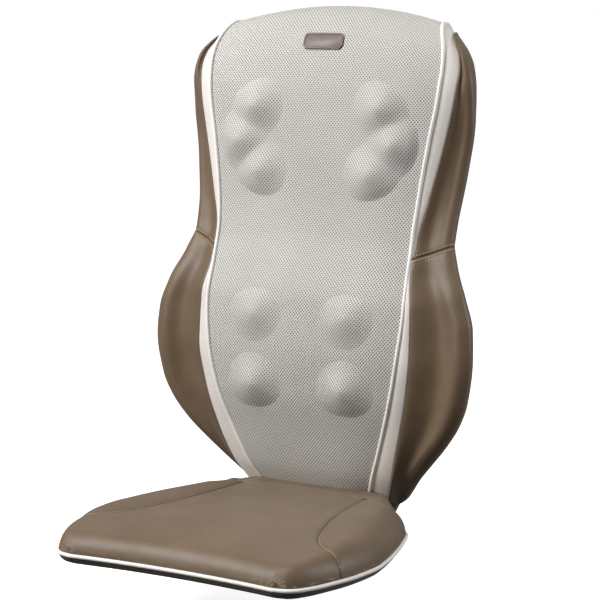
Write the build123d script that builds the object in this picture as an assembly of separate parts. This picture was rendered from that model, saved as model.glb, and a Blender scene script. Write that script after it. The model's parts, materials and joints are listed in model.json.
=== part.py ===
from build123d import *
import os
from math import cos, radians, sin, tan

# Shiatsu massage cushion for a chair: a tall padded back with two kneading units, and a seat
# flap with a vibration motor. Millimetres, +Z up, the front faces -Y, +X is the viewer's right.
# The back is drawn upright on a bench: x across, w forward from its flat rear plane, v up.
# It is then leaned back by LEAN and stood on the floor, and all is centred on the origin.

# ---- driving dimensions -------------------------------------------------------------------
LEAN = 4.0  # degrees that the back leans from upright
REAR_Y = 40.0  # where the back's rear plane meets the floor, before centring
BACK_TOP = 703.0  # height of the back at its centre
WAIST = 371.0  # height of the waist seam at the gusset
WAIST_X = 155.0  # half-width of the gusset's outer edge at the waist
WAIST_RUN = 50.0  # width of the wing along the waist seam
WAIST_RISE = 20.0  # how much higher the seam is at the wing's outer edge
BOTTOM = 3.0  # lowest height of the back's parts over its bottom cover

# half-widths (x, v) of the mesh panel's edge, the gusset's outer edge and the wings' outer edge
MESH_EDGE = [(64, BOTTOM), (98, 75), (136, 183), (147.5, 243), (153, 300), (151, 375), (157, 460),
             (177, 585), (179, BACK_TOP - 63), (160, BACK_TOP - 19)]
GUSSET_EDGE = [(92, BOTTOM), (126, 75), (157, 183), (165, 262), (WAIST_X, WAIST), (168, 445),
               (184, 516), (198, 585), (201, BACK_TOP - 73), (185, BACK_TOP - 31)]
WING_EDGE = [(104, BOTTOM), (150, 68), (204, 124), (237, 185), (246, 243), (232, 310), (205, 378),
             (202, 415), (210, 490), (217, 560), (216, 600), (208, BACK_TOP - 63), (194, BACK_TOP - 35)]
# the casing follows the gusset, but is lower at its shoulders
TRAY_EDGE = GUSSET_EDGE[:-3] + [(194, 580), (189, BACK_TOP - 77), (166, BACK_TOP - 41)]
TRAY_TOP = BACK_TOP - 10.0
# depth (w, v) of the mesh panel's edge, and of the wings' front and rear faces
MESH_DEPTH = [(30, -10), (40, 30), (68, 75), (84, 124), (100, 183), (106, 243), (103, 303),
              (92, 354), (83, 395), (78, 450), (77, 520), (76, 585), (68, BACK_TOP - 58), (44, BACK_TOP - 16)]
WING_FRONT = [(60, -10), (70, 30), (88, 80), (100, 140), (112, 243), (108, 310), (88, 380),
              (74, 450), (70, 520), (70, 586), (60, BACK_TOP - 58), (40, BACK_TOP - 3)]
WING_REAR = [(6, -10), (28, 125), (40, 243), (38, 310), (20, 395), (12, 450), (8, BACK_TOP - 3)]

GUSSET_PINCH = 8.0  # how far each gusset stops short of the waist seam
CLEAR = 0.3  # gap between soft neighbours
RUN = 0.05  # radial clearance of a running fit
CROWN = 8.0  # how far the mesh stands proud of its edge
MESH_T = 2.0
PIPING_W = 5.0
FRAME_DROP = 14.0  # depth of the frame's face under the mesh edge
WALL = 3.0
COVER_T = 1.6  # rear cover cloth
TRAY_REAR = 4.0  # rear face of the tray
TRAY_FRONT = 40.0  # joint between tray and front frame
BASE_DEPTH = 50.0  # front to back size of the bottom cover
BASE_H = 20.0  # its height before the floor cuts it

# kneading units
WHEEL_R = 60.0
WHEEL_T = 14.0
TEETH = 60
TOOTH_H = 2.2
TOOTH_W = 2.6
LIGHTENING_R = 10.0  # holes through the wheel
LIGHTENING_IN = 22.0  # from the wheel's edge to their centres
WORM_R = 11.0
WORM_LENGTH = 50.0
WORM_PITCH = 6.0
MESHING_GAP = 0.3
AXIS_X = WHEEL_R + WORM_R
BALL_R = 19.0
HEAD_GAP = 3.0  # from a ball to the middle, where it turns past its neighbour
HEAD_R = AXIS_X - BALL_R - HEAD_GAP  # kneading ball's circle
SWEEP_GAP = 0.8
BALL_STEM_R = 7.0
SWEEP_R = HEAD_R + BALL_R + SWEEP_GAP
MOTOR_R = 12.5
MOTOR_WAY = 1.5  # room round the motor, front and rear
HOUSING_FRONT = 50.0
HOUSING_REAR = HOUSING_FRONT - 2 * (MOTOR_R + MOTOR_WAY) - WALL
HOUSING_X = AXIS_X + WHEEL_R + 4.0
HOUSING_V = WHEEL_R + 4.0
HOUSING_CORNER_R = 14.0
WORM_W = (HOUSING_REAR + WALL + HOUSING_FRONT) / 2
MOTOR_LENGTH = 58.0
MOTOR_GAP = 38.0  # from the unit's centre to the motor's face
SHAFT_R = 2.5
HUB_R = 12.0
STUB_R = 6.0
BUSH_R = 17.0
BUSH_FRONT = HOUSING_FRONT + WALL + 2.0
ARM_REAR = BUSH_FRONT + 1.3
ARM_T = 6.0
SCREW_R = 2.0
SCREW_HEAD_R = 4.0
SCREW_HEAD_T = 2.2
BOSS_R = 6.0
SCREW_BITE = 11.0
SCREW_PLAY = 0.2
# name, height of the axes, ball centres' depth before the arm, ball angles on the left head,
# motor's direction
UNITS = {
    "upper": dict(v=524.0, reach=19.7, angles=(122, 187, 252), motor=1),
    "lower": dict(v=237.0, reach=44.2, angles=(90, 270), motor=-1),
}
COVER_SCREWS = [(sx * x, sv * v) for x, v in ((25, HOUSING_V - 7), (HOUSING_X - 9, HOUSING_V - 9))
                for sv in (1, -1) for sx in (1, -1)]
UNIT_PILLARS = [(sx * 100, sv * 40) for sv in (1, -1) for sx in (1, -1)]
FRAME_SCREWS = [(sx * x, v) for x, v in ((100, 98), (125, 340), (130, 430), (150, BACK_TOP - 71))
                for sx in (1, -1)]

# badge, electrics and straps
BADGE = (62.0, 21.0, 3.5)
BADGE_V = BACK_TOP - 50.0
BADGE_TILT = 26.0
BOARD = (100.0, 60.0, 1.6)
BOARD_V = 385.0
STANDOFF_R = 3.0
STANDOFF_H = 6.0
INLET_X = 45.0
GLAND_X = 75.0
PORT_V = 60.0
INLET_BODY = (14.0, 16.0, 12.0)
INLET_BORE_R = 2.8
GLAND_R = 6.0
GLAND_BORE_R = 2.6
STRAP_W = 38.0
STRAP_T = 1.5
STRAP_HALF = 150.0
STRAP_HEIGHTS = (150.0, 575.0)
BUCKLE = (52.0, 8.0, 46.0)

# seat flap
def depth_at(table, v):
    """Depth of a table of (w, v) at a height between two of its points."""
    (wa, va), (wb, vb) = next(pair for pair in zip(table, table[1:]) if pair[1][1] >= v)
    return wa + (wb - wa) * (v - va) / (vb - va)


SEAT_TOP = 51.0
HINGE_Z = SEAT_TOP + 1.0
HINGE_TUCK = 0.3  # how far the hinge line is behind the wings' front at its height
HINGE_Y = round(REAR_Y + HINGE_Z * tan(radians(LEAN)) - depth_at(WING_FRONT, HINGE_Z) + HINGE_TUCK, 1)
SEAT_DIP = 9.0  # how much further back the front edge is at its centre
SEAT_REAR_SLANT = 16.0  # the rear face runs forward by this much on its way down
SEAT_EDGE = [(146, HINGE_Y), (163, -50), (178, -90), (197, -140), (212, -185), (219, -220),
             (214, -262), (200, -305), (185, -343), (168, -362), (150, -366)]
SEAT_SEAM = [(98, -20), (102, -147), (112, -205), (134, -255), (168, -287), (230, -297)]
SEAT_BASE_INSET = 14.0
SEAT_BASE_T = 11.0
SEAT_PIPING = 5.0
SEAT_FOAM_TOP = SEAT_TOP - 7.0
SEAT_FOAM_INSET = 8.0
BOARD_INSET = 22.0
SEAT_BOARD_T = 6.0
POD = (84.0, 44.0, 28.0)
POD_Y = -190.0
POD_WALL = 2.0
SEAT_MOTOR_R = 10.0
SEAT_MOTOR_LENGTH = 32.0
WEIGHT_R = 9.0
WEIGHT_T = 12.0
WEIGHT_SHAFT_R = 1.5
WEIGHT_SHAFT_LENGTH = 28.0
FLAP_HALF = 80.0
FLAP_T = 6.0
FLAP_REACH = 20.0  # how far the web stays clear of the back's rear plane

FAR = 400.0  # past every part, sideways or upwards
AHEAD = 150.0  # further forward than any part of the back
OVERRUN = 30.0  # how far a cutting shape runs past what it cuts


# ---- bench helpers ------------------------------------------------------------------------
def bench(x, w, v):
    """A bench point: x across, w forward, v up."""
    return Vector(x, -w, v)


def prism(face, w0, w1):
    """The face, drawn at w = 0, as a solid from depth w0 to w1."""
    return extrude(Pos(0, -w0, 0) * face, amount=w1 - w0, dir=(0, -1, 0))


def outline(edge, grow=0.0, top=BACK_TOP):
    """A closed face with the half-widths of edge, and an arched top."""
    half = [(x + grow, v) for x, v in edge]
    half[-1] = (half[-1][0], half[-1][1] + grow / 2)
    right = Spline(*[bench(x, 0, v) for x, v in half])
    left = Spline(*[bench(-x, 0, v) for x, v in half])
    x_top, v_top = half[-1]
    crest = ThreePointArc(bench(x_top, 0, v_top), bench(0, 0, top + grow / 2), bench(-x_top, 0, v_top))
    foot = Line(bench(-half[0][0], 0, half[0][1]), bench(half[0][0], 0, half[0][1]))
    return make_face([right, crest, left, foot])


def strip(inner, outer, grow_in=0.0, grow_out=0.0):
    """The face between two edges on the right-hand side."""
    a = [bench(x + grow_in, 0, v) for x, v in inner]
    b = [bench(x + grow_out, 0, v) for x, v in outer]
    return make_face([Spline(*a), Line(a[-1], b[-1]), Spline(*b), Line(b[0], a[0])])


def depth_band(front, offset=0.0, rear=None, rear_offset=0.0):
    """Everything between a front curve and a rear curve or the far rear, for all x."""
    top = BACK_TOP + OVERRUN
    f = [bench(0, w + offset, v) for w, v in front] + [bench(0, front[-1][0] + offset - 6, top)]
    if rear is None:
        back = [bench(0, -OVERRUN, top), bench(0, -OVERRUN, front[0][1])]
        edges = [Line(f[-1], back[0]), Line(back[0], back[1]), Line(back[1], f[0])]
    else:
        r = [bench(0, w + rear_offset, v) for w, v in rear]
        r.append(bench(0, rear[-1][0] + rear_offset - (6 if rear is front else 0), top))
        edges = [Line(f[-1], r[-1]), Spline(*r), Line(r[0], f[0])]
    return extrude(make_face([Spline(*f)] + edges), amount=FAR, dir=(1, 0, 0), both=True)


def rod(x, v, radius, w0, w1):
    """A cylinder along the depth."""
    return Pos(x, -(w0 + w1) / 2, v) * Rot(90, 0, 0) * Cylinder(radius, abs(w1 - w0))


def block(x, v, size_x, size_v, w0, w1):
    """A box by its centre in x and v, and its depths."""
    return Pos(x, -(w0 + w1) / 2, v) * Box(size_x, abs(w1 - w0), size_v)


def mirrored(solid):
    """The same solid on the left-hand side."""
    return mirror(solid, about=Plane.YZ)


def ball_depth(unit):
    """Depth of the ball centres of a unit's heads."""
    return ARM_REAR + unit["reach"]


def head_windows(radius, w0, w1):
    """Round openings over all four heads."""
    return [rod(side * AXIS_X, unit["v"], radius, w0, w1) for unit in UNITS.values() for side in (-1, 1)]


# ---- the back's casing and covers ---------------------------------------------------------
def rear_tray():
    """Moulded tray that holds the kneading units, open to the front."""
    outer = prism(outline(TRAY_EDGE, -1, TRAY_TOP), TRAY_REAR, TRAY_FRONT)
    outer = outer & depth_band(MESH_DEPTH, -FRAME_DROP)
    inner = prism(outline(TRAY_EDGE, -1 - WALL, TRAY_TOP), TRAY_REAR + WALL, TRAY_FRONT + 1)
    inner = inner & Pos(0, 0, WALL) * depth_band(MESH_DEPTH, -FRAME_DROP - WALL)
    tray = outer - inner
    holes = [rod(x, v, SCREW_R + SCREW_PLAY, 0, TRAY_FRONT) for x, v in FRAME_SCREWS]
    for unit in UNITS.values():
        holes += [rod(x, unit["v"] + v, SCREW_R + SCREW_PLAY, 0, TRAY_FRONT) for x, v in UNIT_PILLARS]
    for hole in holes:
        tray = tray - hole
    wide, high = INLET_BODY[0] + CLEAR, INLET_BODY[2] + CLEAR
    tray = tray - block(INLET_X, PORT_V, wide, high, 0, TRAY_REAR + WALL + 1)
    return tray - rod(GLAND_X, PORT_V, GLAND_R, 0, TRAY_REAR + WALL + 1)


def front_frame():
    """Moulded front of the casing, with round windows for the heads and bosses for its screws."""
    outer = prism(outline(TRAY_EDGE, -1, TRAY_TOP), TRAY_FRONT, AHEAD) & depth_band(MESH_DEPTH, -FRAME_DROP)
    inner = prism(outline(TRAY_EDGE, -1 - WALL, TRAY_TOP), TRAY_FRONT - 1, AHEAD)
    inner = inner & depth_band(MESH_DEPTH, -FRAME_DROP - WALL)
    frame = outer - inner
    for window in head_windows(SWEEP_R, 0, AHEAD):
        frame = frame - window
    reach = depth_band(MESH_DEPTH, -FRAME_DROP - WALL / 2)
    for x, v in FRAME_SCREWS:
        boss = rod(x, v, BOSS_R, TRAY_REAR + WALL, AHEAD) & reach
        frame = frame + boss - rod(x, v, SCREW_R, 0, TRAY_REAR + WALL + SCREW_BITE)
    return frame


def screw(x, v, head, tip):
    """A screw along the depth: head's outer depth and tip's depth."""
    step = SCREW_HEAD_T if tip > head else -SCREW_HEAD_T
    return rod(x, v, SCREW_HEAD_R, head, head + step) + rod(x, v, SCREW_R, head + step, tip)


def frame_screws():
    """Screws from the rear through the tray into the frame's bosses."""
    head = TRAY_REAR - SCREW_HEAD_T
    tip = TRAY_REAR + WALL + SCREW_BITE
    return Compound(children=[screw(x, v, head, tip) for x, v in FRAME_SCREWS])


def back_foam_pad():
    """Foam between the frame and the mesh, cut out over the heads."""
    front = CROWN - MESH_T - CLEAR
    pad = prism(outline(MESH_EDGE, -PIPING_W / 2 - CLEAR), 0, AHEAD)
    pad = pad & depth_band(MESH_DEPTH, front, MESH_DEPTH, -FRAME_DROP)
    for window in head_windows(SWEEP_R + MESH_T + CLEAR, 0, AHEAD):
        pad = pad - window
    return pad


def mesh_panel():
    """Spacer mesh over the foam, with a round rise over each head's sweep."""
    area = outline(MESH_EDGE, -PIPING_W / 2 - CLEAR)
    skin = prism(area, 0, AHEAD) & depth_band(MESH_DEPTH, CROWN, MESH_DEPTH, CROWN - MESH_T)
    for unit in UNITS.values():
        for side in (-1, 1):
            rise = rod(side * AXIS_X, unit["v"], SWEEP_R + MESH_T, 0, ball_depth(unit) + BALL_R + CLEAR + MESH_T)
            under = depth_band(MESH_DEPTH, CROWN - MESH_T)
            skin = skin + (rise - under)
    for unit in UNITS.values():
        for side in (-1, 1):
            skin = skin - rod(side * AXIS_X, unit["v"], SWEEP_R, 0, ball_depth(unit) + BALL_R + CLEAR)
    return skin


def gusset(low, high):
    """Pale band between the piping and the wing, between two heights."""
    band = prism(strip(MESH_EDGE, GUSSET_EDGE), 0, AHEAD)
    band = band & depth_band(MESH_DEPTH, 0, MESH_DEPTH, -FRAME_DROP + CLEAR)
    return band & block(0, (low + high) / 2, 2 * FAR, high - low, 0, AHEAD)


def piping():
    """Piping along the right-hand edge of the mesh."""
    half = PIPING_W / 2
    cord = prism(strip(MESH_EDGE, MESH_EDGE, -half, half), 0, AHEAD)
    return cord & depth_band(MESH_DEPTH, PIPING_W, MESH_DEPTH, 0)


def wing(upper):
    """Padded wing on the right, above or below the waist seam."""
    pad = prism(strip(GUSSET_EDGE, WING_EDGE, CLEAR), 0, AHEAD)
    pad = pad & depth_band(WING_FRONT, 0, WING_REAR, 0)
    slope = WAIST_RISE / WAIST_RUN
    sign = 1 if upper else -1
    seam = WAIST + sign * CLEAR / 2
    low, high = bench(0, 0, seam - slope * WAIST_X), bench(FAR, 0, seam + slope * (FAR - WAIST_X))
    corners = [low, high, bench(FAR, 0, WAIST + sign * FAR), bench(0, 0, WAIST + sign * FAR)]
    side = make_face(Polyline(*corners, close=True))
    return pad & prism(side, 0, AHEAD)


def rear_cover():
    """Cloth over the rear of the tray, with openings for the inlet and the gland."""
    cover = prism(outline(TRAY_EDGE, -1, TRAY_TOP), 0, COVER_T)
    cover = cover - block(INLET_X, PORT_V, INLET_BODY[0] + 2, INLET_BODY[2] + 2, -1, COVER_T + 1)
    return cover - rod(GLAND_X, PORT_V, GLAND_R + 2, -1, COVER_T + 1)


def bottom_cover():
    """Wedge under the back that it stands on, flat on the floor once the back leans."""
    width = 2 * (GUSSET_EDGE[0][0] - 1)
    return Pos(0, -BASE_DEPTH / 2, BOTTOM - BASE_H / 2) * Box(width, BASE_DEPTH, BASE_H)


def badge(mesh):
    """Plain plate on the mesh near the top, with a raised rim."""
    width, height, thick = BADGE
    plate = Box(width, thick + 6, height)
    plate = fillet(plate.edges().filter_by(Axis.Y), height * 0.3)
    pocket = Pos(0, -(thick + 6) / 2, 0) * Box(width - 6, 1.6, height - 6)
    plate = plate - fillet(pocket.edges().filter_by(Axis.Y), height * 0.2)
    depth = badge_depth() - 3
    plate = Pos(0, -depth, BADGE_V) * Rot(-BADGE_TILT, 0, 0) * plate
    behind = depth_band(MESH_DEPTH, CROWN + 0.01)
    return plate - behind


def badge_depth():
    """Depth of the badge's face at its centre."""
    (wa, va), (wb, vb) = MESH_DEPTH[-2], MESH_DEPTH[-1]
    surface = wa + (wb - wa) * (BADGE_V - va) / (vb - va)
    return surface + CROWN + BADGE[2]


# ---- electrics and straps -----------------------------------------------------------------
def dc_inlet():
    """Power socket in the rear wall: a body, a round bore and a centre pin."""
    size_x, depth, size_v = INLET_BODY
    body = block(INLET_X, PORT_V, size_x, size_v, TRAY_REAR, TRAY_REAR + depth)
    body = body - rod(INLET_X, PORT_V, INLET_BORE_R, TRAY_REAR - 1, TRAY_REAR + depth - WALL)
    return body + rod(INLET_X, PORT_V, INLET_BORE_R / 3, TRAY_REAR + 1, TRAY_REAR + depth - WALL / 2)


def handset_gland():
    """Rubber gland that the hand control's lead would leave through."""
    collar = rod(GLAND_X, PORT_V, GLAND_R + 1.5, COVER_T - 2, TRAY_REAR)
    neck = rod(GLAND_X, PORT_V, GLAND_R, TRAY_REAR, TRAY_REAR + WALL + 2)
    return collar + neck - rod(GLAND_X, PORT_V, GLAND_BORE_R, -5, TRAY_REAR + WALL + 4)


def control_board():
    """Circuit board with its relays, chip and connectors."""
    size_x, size_v, thick = BOARD
    w0 = TRAY_REAR + WALL + STANDOFF_H
    board = block(0, BOARD_V, size_x, size_v, w0, w0 + thick)
    for x, v, sx, sv, h in [(-30, 12, 18, 15, 12), (-8, 12, 18, 15, 12), (20, 8, 12, 12, 2),
                            (38, -16, 8, 22, 8), (-34, -18, 22, 8, 8), (0, -18, 10, 10, 5)]:
        board = board + block(x, BOARD_V + v, sx, sv, w0 + thick, w0 + thick + h)
    return board


def board_standoffs():
    """Pillars under the control board."""
    w0 = TRAY_REAR + WALL
    x, v = BOARD[0] / 2 - 5, BOARD[1] / 2 - 5
    places = [(sx * x, BOARD_V + sv * v) for sx in (-1, 1) for sv in (-1, 1)]
    return Compound(children=[rod(px, pv, STANDOFF_R, w0, w0 + STANDOFF_H) for px, pv in places])


def chair_strap(height):
    """Webbing across the rear in two halves that meet in the buckle."""
    length = STRAP_HALF - BUCKLE[0] / 2
    centre = (STRAP_HALF + BUCKLE[0] / 2) / 2
    half = block(centre, height, length, STRAP_W, -STRAP_T, 0)
    return Compound(children=[half, mirrored(half)])


def strap_buckle(height):
    """Side release buckle between a strap's halves."""
    size_x, depth, size_v = BUCKLE
    buckle = block(0, height, size_x, size_v, -depth, 0)
    buckle = fillet(buckle.edges().filter_by(Axis.Y), 6)
    for side in (-1, 1):
        buckle = buckle - block(side * size_x * 0.12, height + side * size_v / 2, 16, 8, -depth + 2, -2)
    return buckle - block(0, height, 1.2, size_v + 2, -depth - 1, -depth + 1.2)


# ---- kneading unit ------------------------------------------------------------------------
def unit_outline(grow=0.0):
    """Rounded rectangle of the gearbox, centred on the bench origin."""
    shape = RectangleRounded(2 * (HOUSING_X + grow), 2 * (HOUSING_V + grow), HOUSING_CORNER_R + grow)
    return Plane.XZ * shape


def gearbox_housing(unit):
    """Rear half of the gearbox: walls, stub shafts, screw bosses, worm saddle and pillars."""
    v0, direction = unit["v"], unit["motor"]
    shell = prism(unit_outline(), HOUSING_REAR, HOUSING_FRONT)
    shell = shell - prism(unit_outline(-WALL), HOUSING_REAR + WALL, HOUSING_FRONT + 1)
    floor = HOUSING_REAR + WALL
    for x, v in COVER_SCREWS:
        boss = rod(x, v, BOSS_R - 1, HOUSING_REAR + WALL, HOUSING_FRONT)
        shell = shell + boss - rod(x, v, SCREW_R, HOUSING_FRONT - SCREW_BITE, HOUSING_FRONT + 1)
    for side in (-1, 1):
        shell = shell + rod(side * AXIS_X, 0, STUB_R, floor, floor + WHEEL_T)
    for x, v in UNIT_PILLARS:
        pillar = rod(x, v, BOSS_R, TRAY_REAR + WALL, HOUSING_REAR)
        bite = rod(x, v, SCREW_R, 0, TRAY_REAR + WALL + SCREW_BITE)
        shell = shell + pillar - bite
    saddle_w = WORM_W - bearing_radius()
    shell = shell + block(0, -direction * bearing_offset(), 12, 6, floor, saddle_w)
    motor_way = Pos(0, -WORM_W, direction * (MOTOR_GAP + MOTOR_LENGTH / 2)) * Cylinder(
        MOTOR_R + 0.1, MOTOR_LENGTH + 0.2)
    return Pos(0, 0, v0) * (shell - motor_way)


def bearing_radius():
    """Outer radius of the worm's end bearing."""
    return SHAFT_R + 4.5


def bearing_offset():
    """Distance from the unit's centre to the middle of the worm's end bearing."""
    return WORM_LENGTH / 2 + 10


def gearbox_cover(unit):
    """Front plate of the gearbox with openings for the shaft bushes."""
    plate = prism(unit_outline(), HOUSING_FRONT, HOUSING_FRONT + WALL)
    for side in (-1, 1):
        plate = plate - rod(side * AXIS_X, 0, BUSH_R, HOUSING_FRONT - 1, HOUSING_FRONT + WALL + 1)
    for x, v in COVER_SCREWS:
        plate = plate - rod(x, v, SCREW_R, HOUSING_FRONT - 1, HOUSING_FRONT + WALL + 1)
    return Pos(0, 0, unit["v"]) * plate


def gearbox_screws():
    """Cover screws from the front and mounting screws from the rear, for both units."""
    screws = []
    for unit in UNITS.values():
        front = HOUSING_FRONT + WALL + SCREW_HEAD_T
        for x, v in COVER_SCREWS:
            screws.append(screw(x, unit["v"] + v, front, HOUSING_FRONT - SCREW_BITE))
        for x, v in UNIT_PILLARS:
            head, tip = TRAY_REAR - SCREW_HEAD_T, TRAY_REAR + WALL + SCREW_BITE
            screws.append(screw(x, unit["v"] + v, head, tip))
    return Compound(children=screws)


def shaft_bushes():
    """Bushes that carry the head shafts in the gearbox covers."""
    bushes = []
    for unit in UNITS.values():
        for side in (-1, 1):
            x, v = side * AXIS_X, unit["v"]
            ring = rod(x, v, BUSH_R, HOUSING_FRONT, HOUSING_FRONT + WALL)
            ring = ring + rod(x, v, BUSH_R + 2, HOUSING_FRONT + WALL, BUSH_FRONT)
            bushes.append(ring - rod(x, v, HUB_R + RUN, HOUSING_FRONT - 1, BUSH_FRONT + 1))
    return Compound(children=bushes)


def worm_bearings():
    """Bearing at the free end of each worm."""
    rings = []
    for unit in UNITS.values():
        ring = Cylinder(bearing_radius(), 6) - Cylinder(SHAFT_R + RUN, 8)
        rings.append(Pos(0, -WORM_W, unit["v"] - unit["motor"] * bearing_offset()) * ring)
    return Compound(children=rings)


def drive_motor(unit):
    """Motor can with a rear cap and a bore that the worm's shaft runs in."""
    can = Cylinder(MOTOR_R, MOTOR_LENGTH - 6)
    cap = Pos(0, 0, MOTOR_LENGTH / 2) * Cylinder(MOTOR_R - 2, 6)
    motor = can + cap
    face = -(MOTOR_LENGTH - 6) / 2
    motor = motor - Pos(0, 0, face + 6) * Cylinder(SHAFT_R + RUN, 14)
    place = MOTOR_GAP + (MOTOR_LENGTH - 6) / 2
    turn = Rot(0, 0, 0) if unit["motor"] > 0 else Rot(180, 0, 0)
    return Pos(0, -WORM_W, unit["v"] + unit["motor"] * place) * turn * motor


def worm(unit):
    """Worm on its shaft, from the end bearing into the motor."""
    direction = unit["motor"]
    core_r = WORM_R - 2.0
    body = Cylinder(core_r, WORM_LENGTH)
    turns = int(WORM_LENGTH / WORM_PITCH) - 1
    for i in range(turns):
        z = (i - (turns - 1) / 2) * WORM_PITCH
        body = body + Pos(0, 0, z) * Cylinder(WORM_R - MESHING_GAP / 2, WORM_PITCH * 0.45)
    low, high = -bearing_offset() - 3, MOTOR_GAP + 10
    shaft = Pos(0, 0, direction * (low + high) / 2) * Cylinder(SHAFT_R, high - low)
    return Pos(0, -WORM_W, unit["v"]) * (body + shaft)


def worm_wheel(unit, side):
    """Toothed wheel with the hub that carries the arm."""
    mid = WORM_W
    root_r = WHEEL_R - TOOTH_H - MESHING_GAP / 2
    wheel = rod(0, 0, root_r, mid - WHEEL_T / 2, mid + WHEEL_T / 2)
    tooth = Pos(root_r + TOOTH_H / 2 - 0.5, -mid, 0) * Box(TOOTH_H + 1, WHEEL_T, TOOTH_W)
    teeth = [Rot(0, 360 / TEETH * i, 0) * tooth for i in range(TEETH)]
    wheel = wheel + teeth
    for i in range(6):
        angle = radians(60 * i)
        x, v = (WHEEL_R - LIGHTENING_IN) * cos(angle), (WHEEL_R - LIGHTENING_IN) * sin(angle)
        wheel = wheel - rod(x, v, LIGHTENING_R, mid - WHEEL_T / 2 - 1, mid + WHEEL_T / 2 + 1)
    floor = HOUSING_REAR + WALL
    wheel = wheel + rod(0, 0, HUB_R, floor + CLEAR, ARM_REAR)
    wheel = wheel - rod(0, 0, STUB_R + RUN, floor, floor + WHEEL_T + CLEAR)
    return Pos(side * AXIS_X, 0, unit["v"]) * wheel


def ball_places(unit, side):
    """Where the head's balls are, mirrored on the right-hand head."""
    places = []
    for angle in unit["angles"]:
        turned = radians(angle)
        x, v = HEAD_R * cos(turned), HEAD_R * sin(turned)
        places.append((side * (AXIS_X - x) if side > 0 else -AXIS_X + x, unit["v"] + v))
    return places


def head_arm(unit, side):
    """Arm plate with a spoke and a stem to each ball."""
    cx, cv = side * AXIS_X, unit["v"]
    front = ARM_REAR + ARM_T
    arm = rod(cx, cv, HUB_R + 5, ARM_REAR, front)
    centre = ball_depth(unit)
    for x, v in ball_places(unit, side):
        length = ((x - cx) ** 2 + (v - cv) ** 2) ** 0.5
        spoke = Pos(length / 2, 0, 0) * Box(length, ARM_T, 2 * BALL_STEM_R + 2)
        angle = Vector(1, 0, 0).get_signed_angle(Vector(x - cx, 0, v - cv), Vector(0, 1, 0))
        arm = arm + Pos(cx, -(ARM_REAR + front) / 2, cv) * Rot(0, angle, 0) * spoke
        arm = arm + rod(x, v, BALL_STEM_R + 1, ARM_REAR, front)
        arm = arm + rod(x, v, BALL_STEM_R, front, centre)
    return arm


def kneading_balls(unit, side):
    """Balls on the arm's stems, cut flat over the arm."""
    centre = ball_depth(unit)
    front = ARM_REAR + ARM_T
    balls = []
    for x, v in ball_places(unit, side):
        ball = Pos(x, -centre, v) * Sphere(BALL_R)
        ball = ball - rod(x, v, BALL_STEM_R, 0, centre)
        ball = ball - block(x, v, 3 * BALL_R, 3 * BALL_R, 0, front)
        balls.append(ball)
    return Compound(children=balls)


# ---- seat flap ----------------------------------------------------------------------------
def seat_face(inset=0.0, slant=0.0):
    """The seat's plan at z = 0, brought in by inset, with its rear edge slant further forward."""
    half = []
    for x, y in SEAT_EDGE:
        half.append(Vector(x - inset, max(y, SEAT_EDGE[-1][1] + inset), 0))
    rear_y = HINGE_Y - slant - inset * 0.3
    half = [p for p in half if p.Y < rear_y - 4]
    rear_x = SEAT_EDGE[0][0] + slant * 0.6 - inset
    start = Vector(rear_x, rear_y, 0)
    right = Spline(start, *half)
    left = mirror(right, about=Plane.YZ)
    end = half[-1]
    dip = Vector(0, end.Y + SEAT_DIP, 0)
    front = ThreePointArc(end, dip, Vector(-end.X, end.Y, 0))
    rear = Line(start, Vector(-start.X, start.Y, 0))
    return make_face([right, front, left, rear])


def seat_slab(z0, z1, inset=0.0):
    """A slab of the seat between two heights, behind the slanting rear face."""
    slab = extrude(Pos(0, 0, z0) * seat_face(inset), amount=z1 - z0)
    lean = SEAT_REAR_SLANT / HINGE_Z
    y_low, y_top = HINGE_Y - SEAT_REAR_SLANT - inset * 0.3, HINGE_Y - inset * 0.3
    high, front = HINGE_Z + OVERRUN, SEAT_EDGE[-1][1] - OVERRUN
    points = [(0, y_low, 0), (0, y_top + lean * OVERRUN, high), (0, front, high), (0, front, 0)]
    keep = extrude(make_face(Polyline(*points, close=True)), amount=FAR, dir=(1, 0, 0), both=True)
    return slab & keep


def seam_side():
    """Everything outside the right-hand bolster seam."""
    seam = Spline(*[Vector(x, y, 0) for x, y in SEAT_SEAM])
    first, last = SEAT_SEAM[0], SEAT_SEAM[-1]
    far_x, far_y = last[0] + OVERRUN, first[1] + OVERRUN
    outer = [Vector(far_x, last[1], 0), Vector(far_x, far_y, 0), Vector(first[0], far_y, 0)]
    edges = [seam, Line(Vector(*last, 0), outer[0]), Line(outer[0], outer[1]), Line(outer[1], outer[2]),
             Line(outer[2], Vector(*first, 0))]
    return extrude(make_face(edges), amount=FAR)


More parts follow.
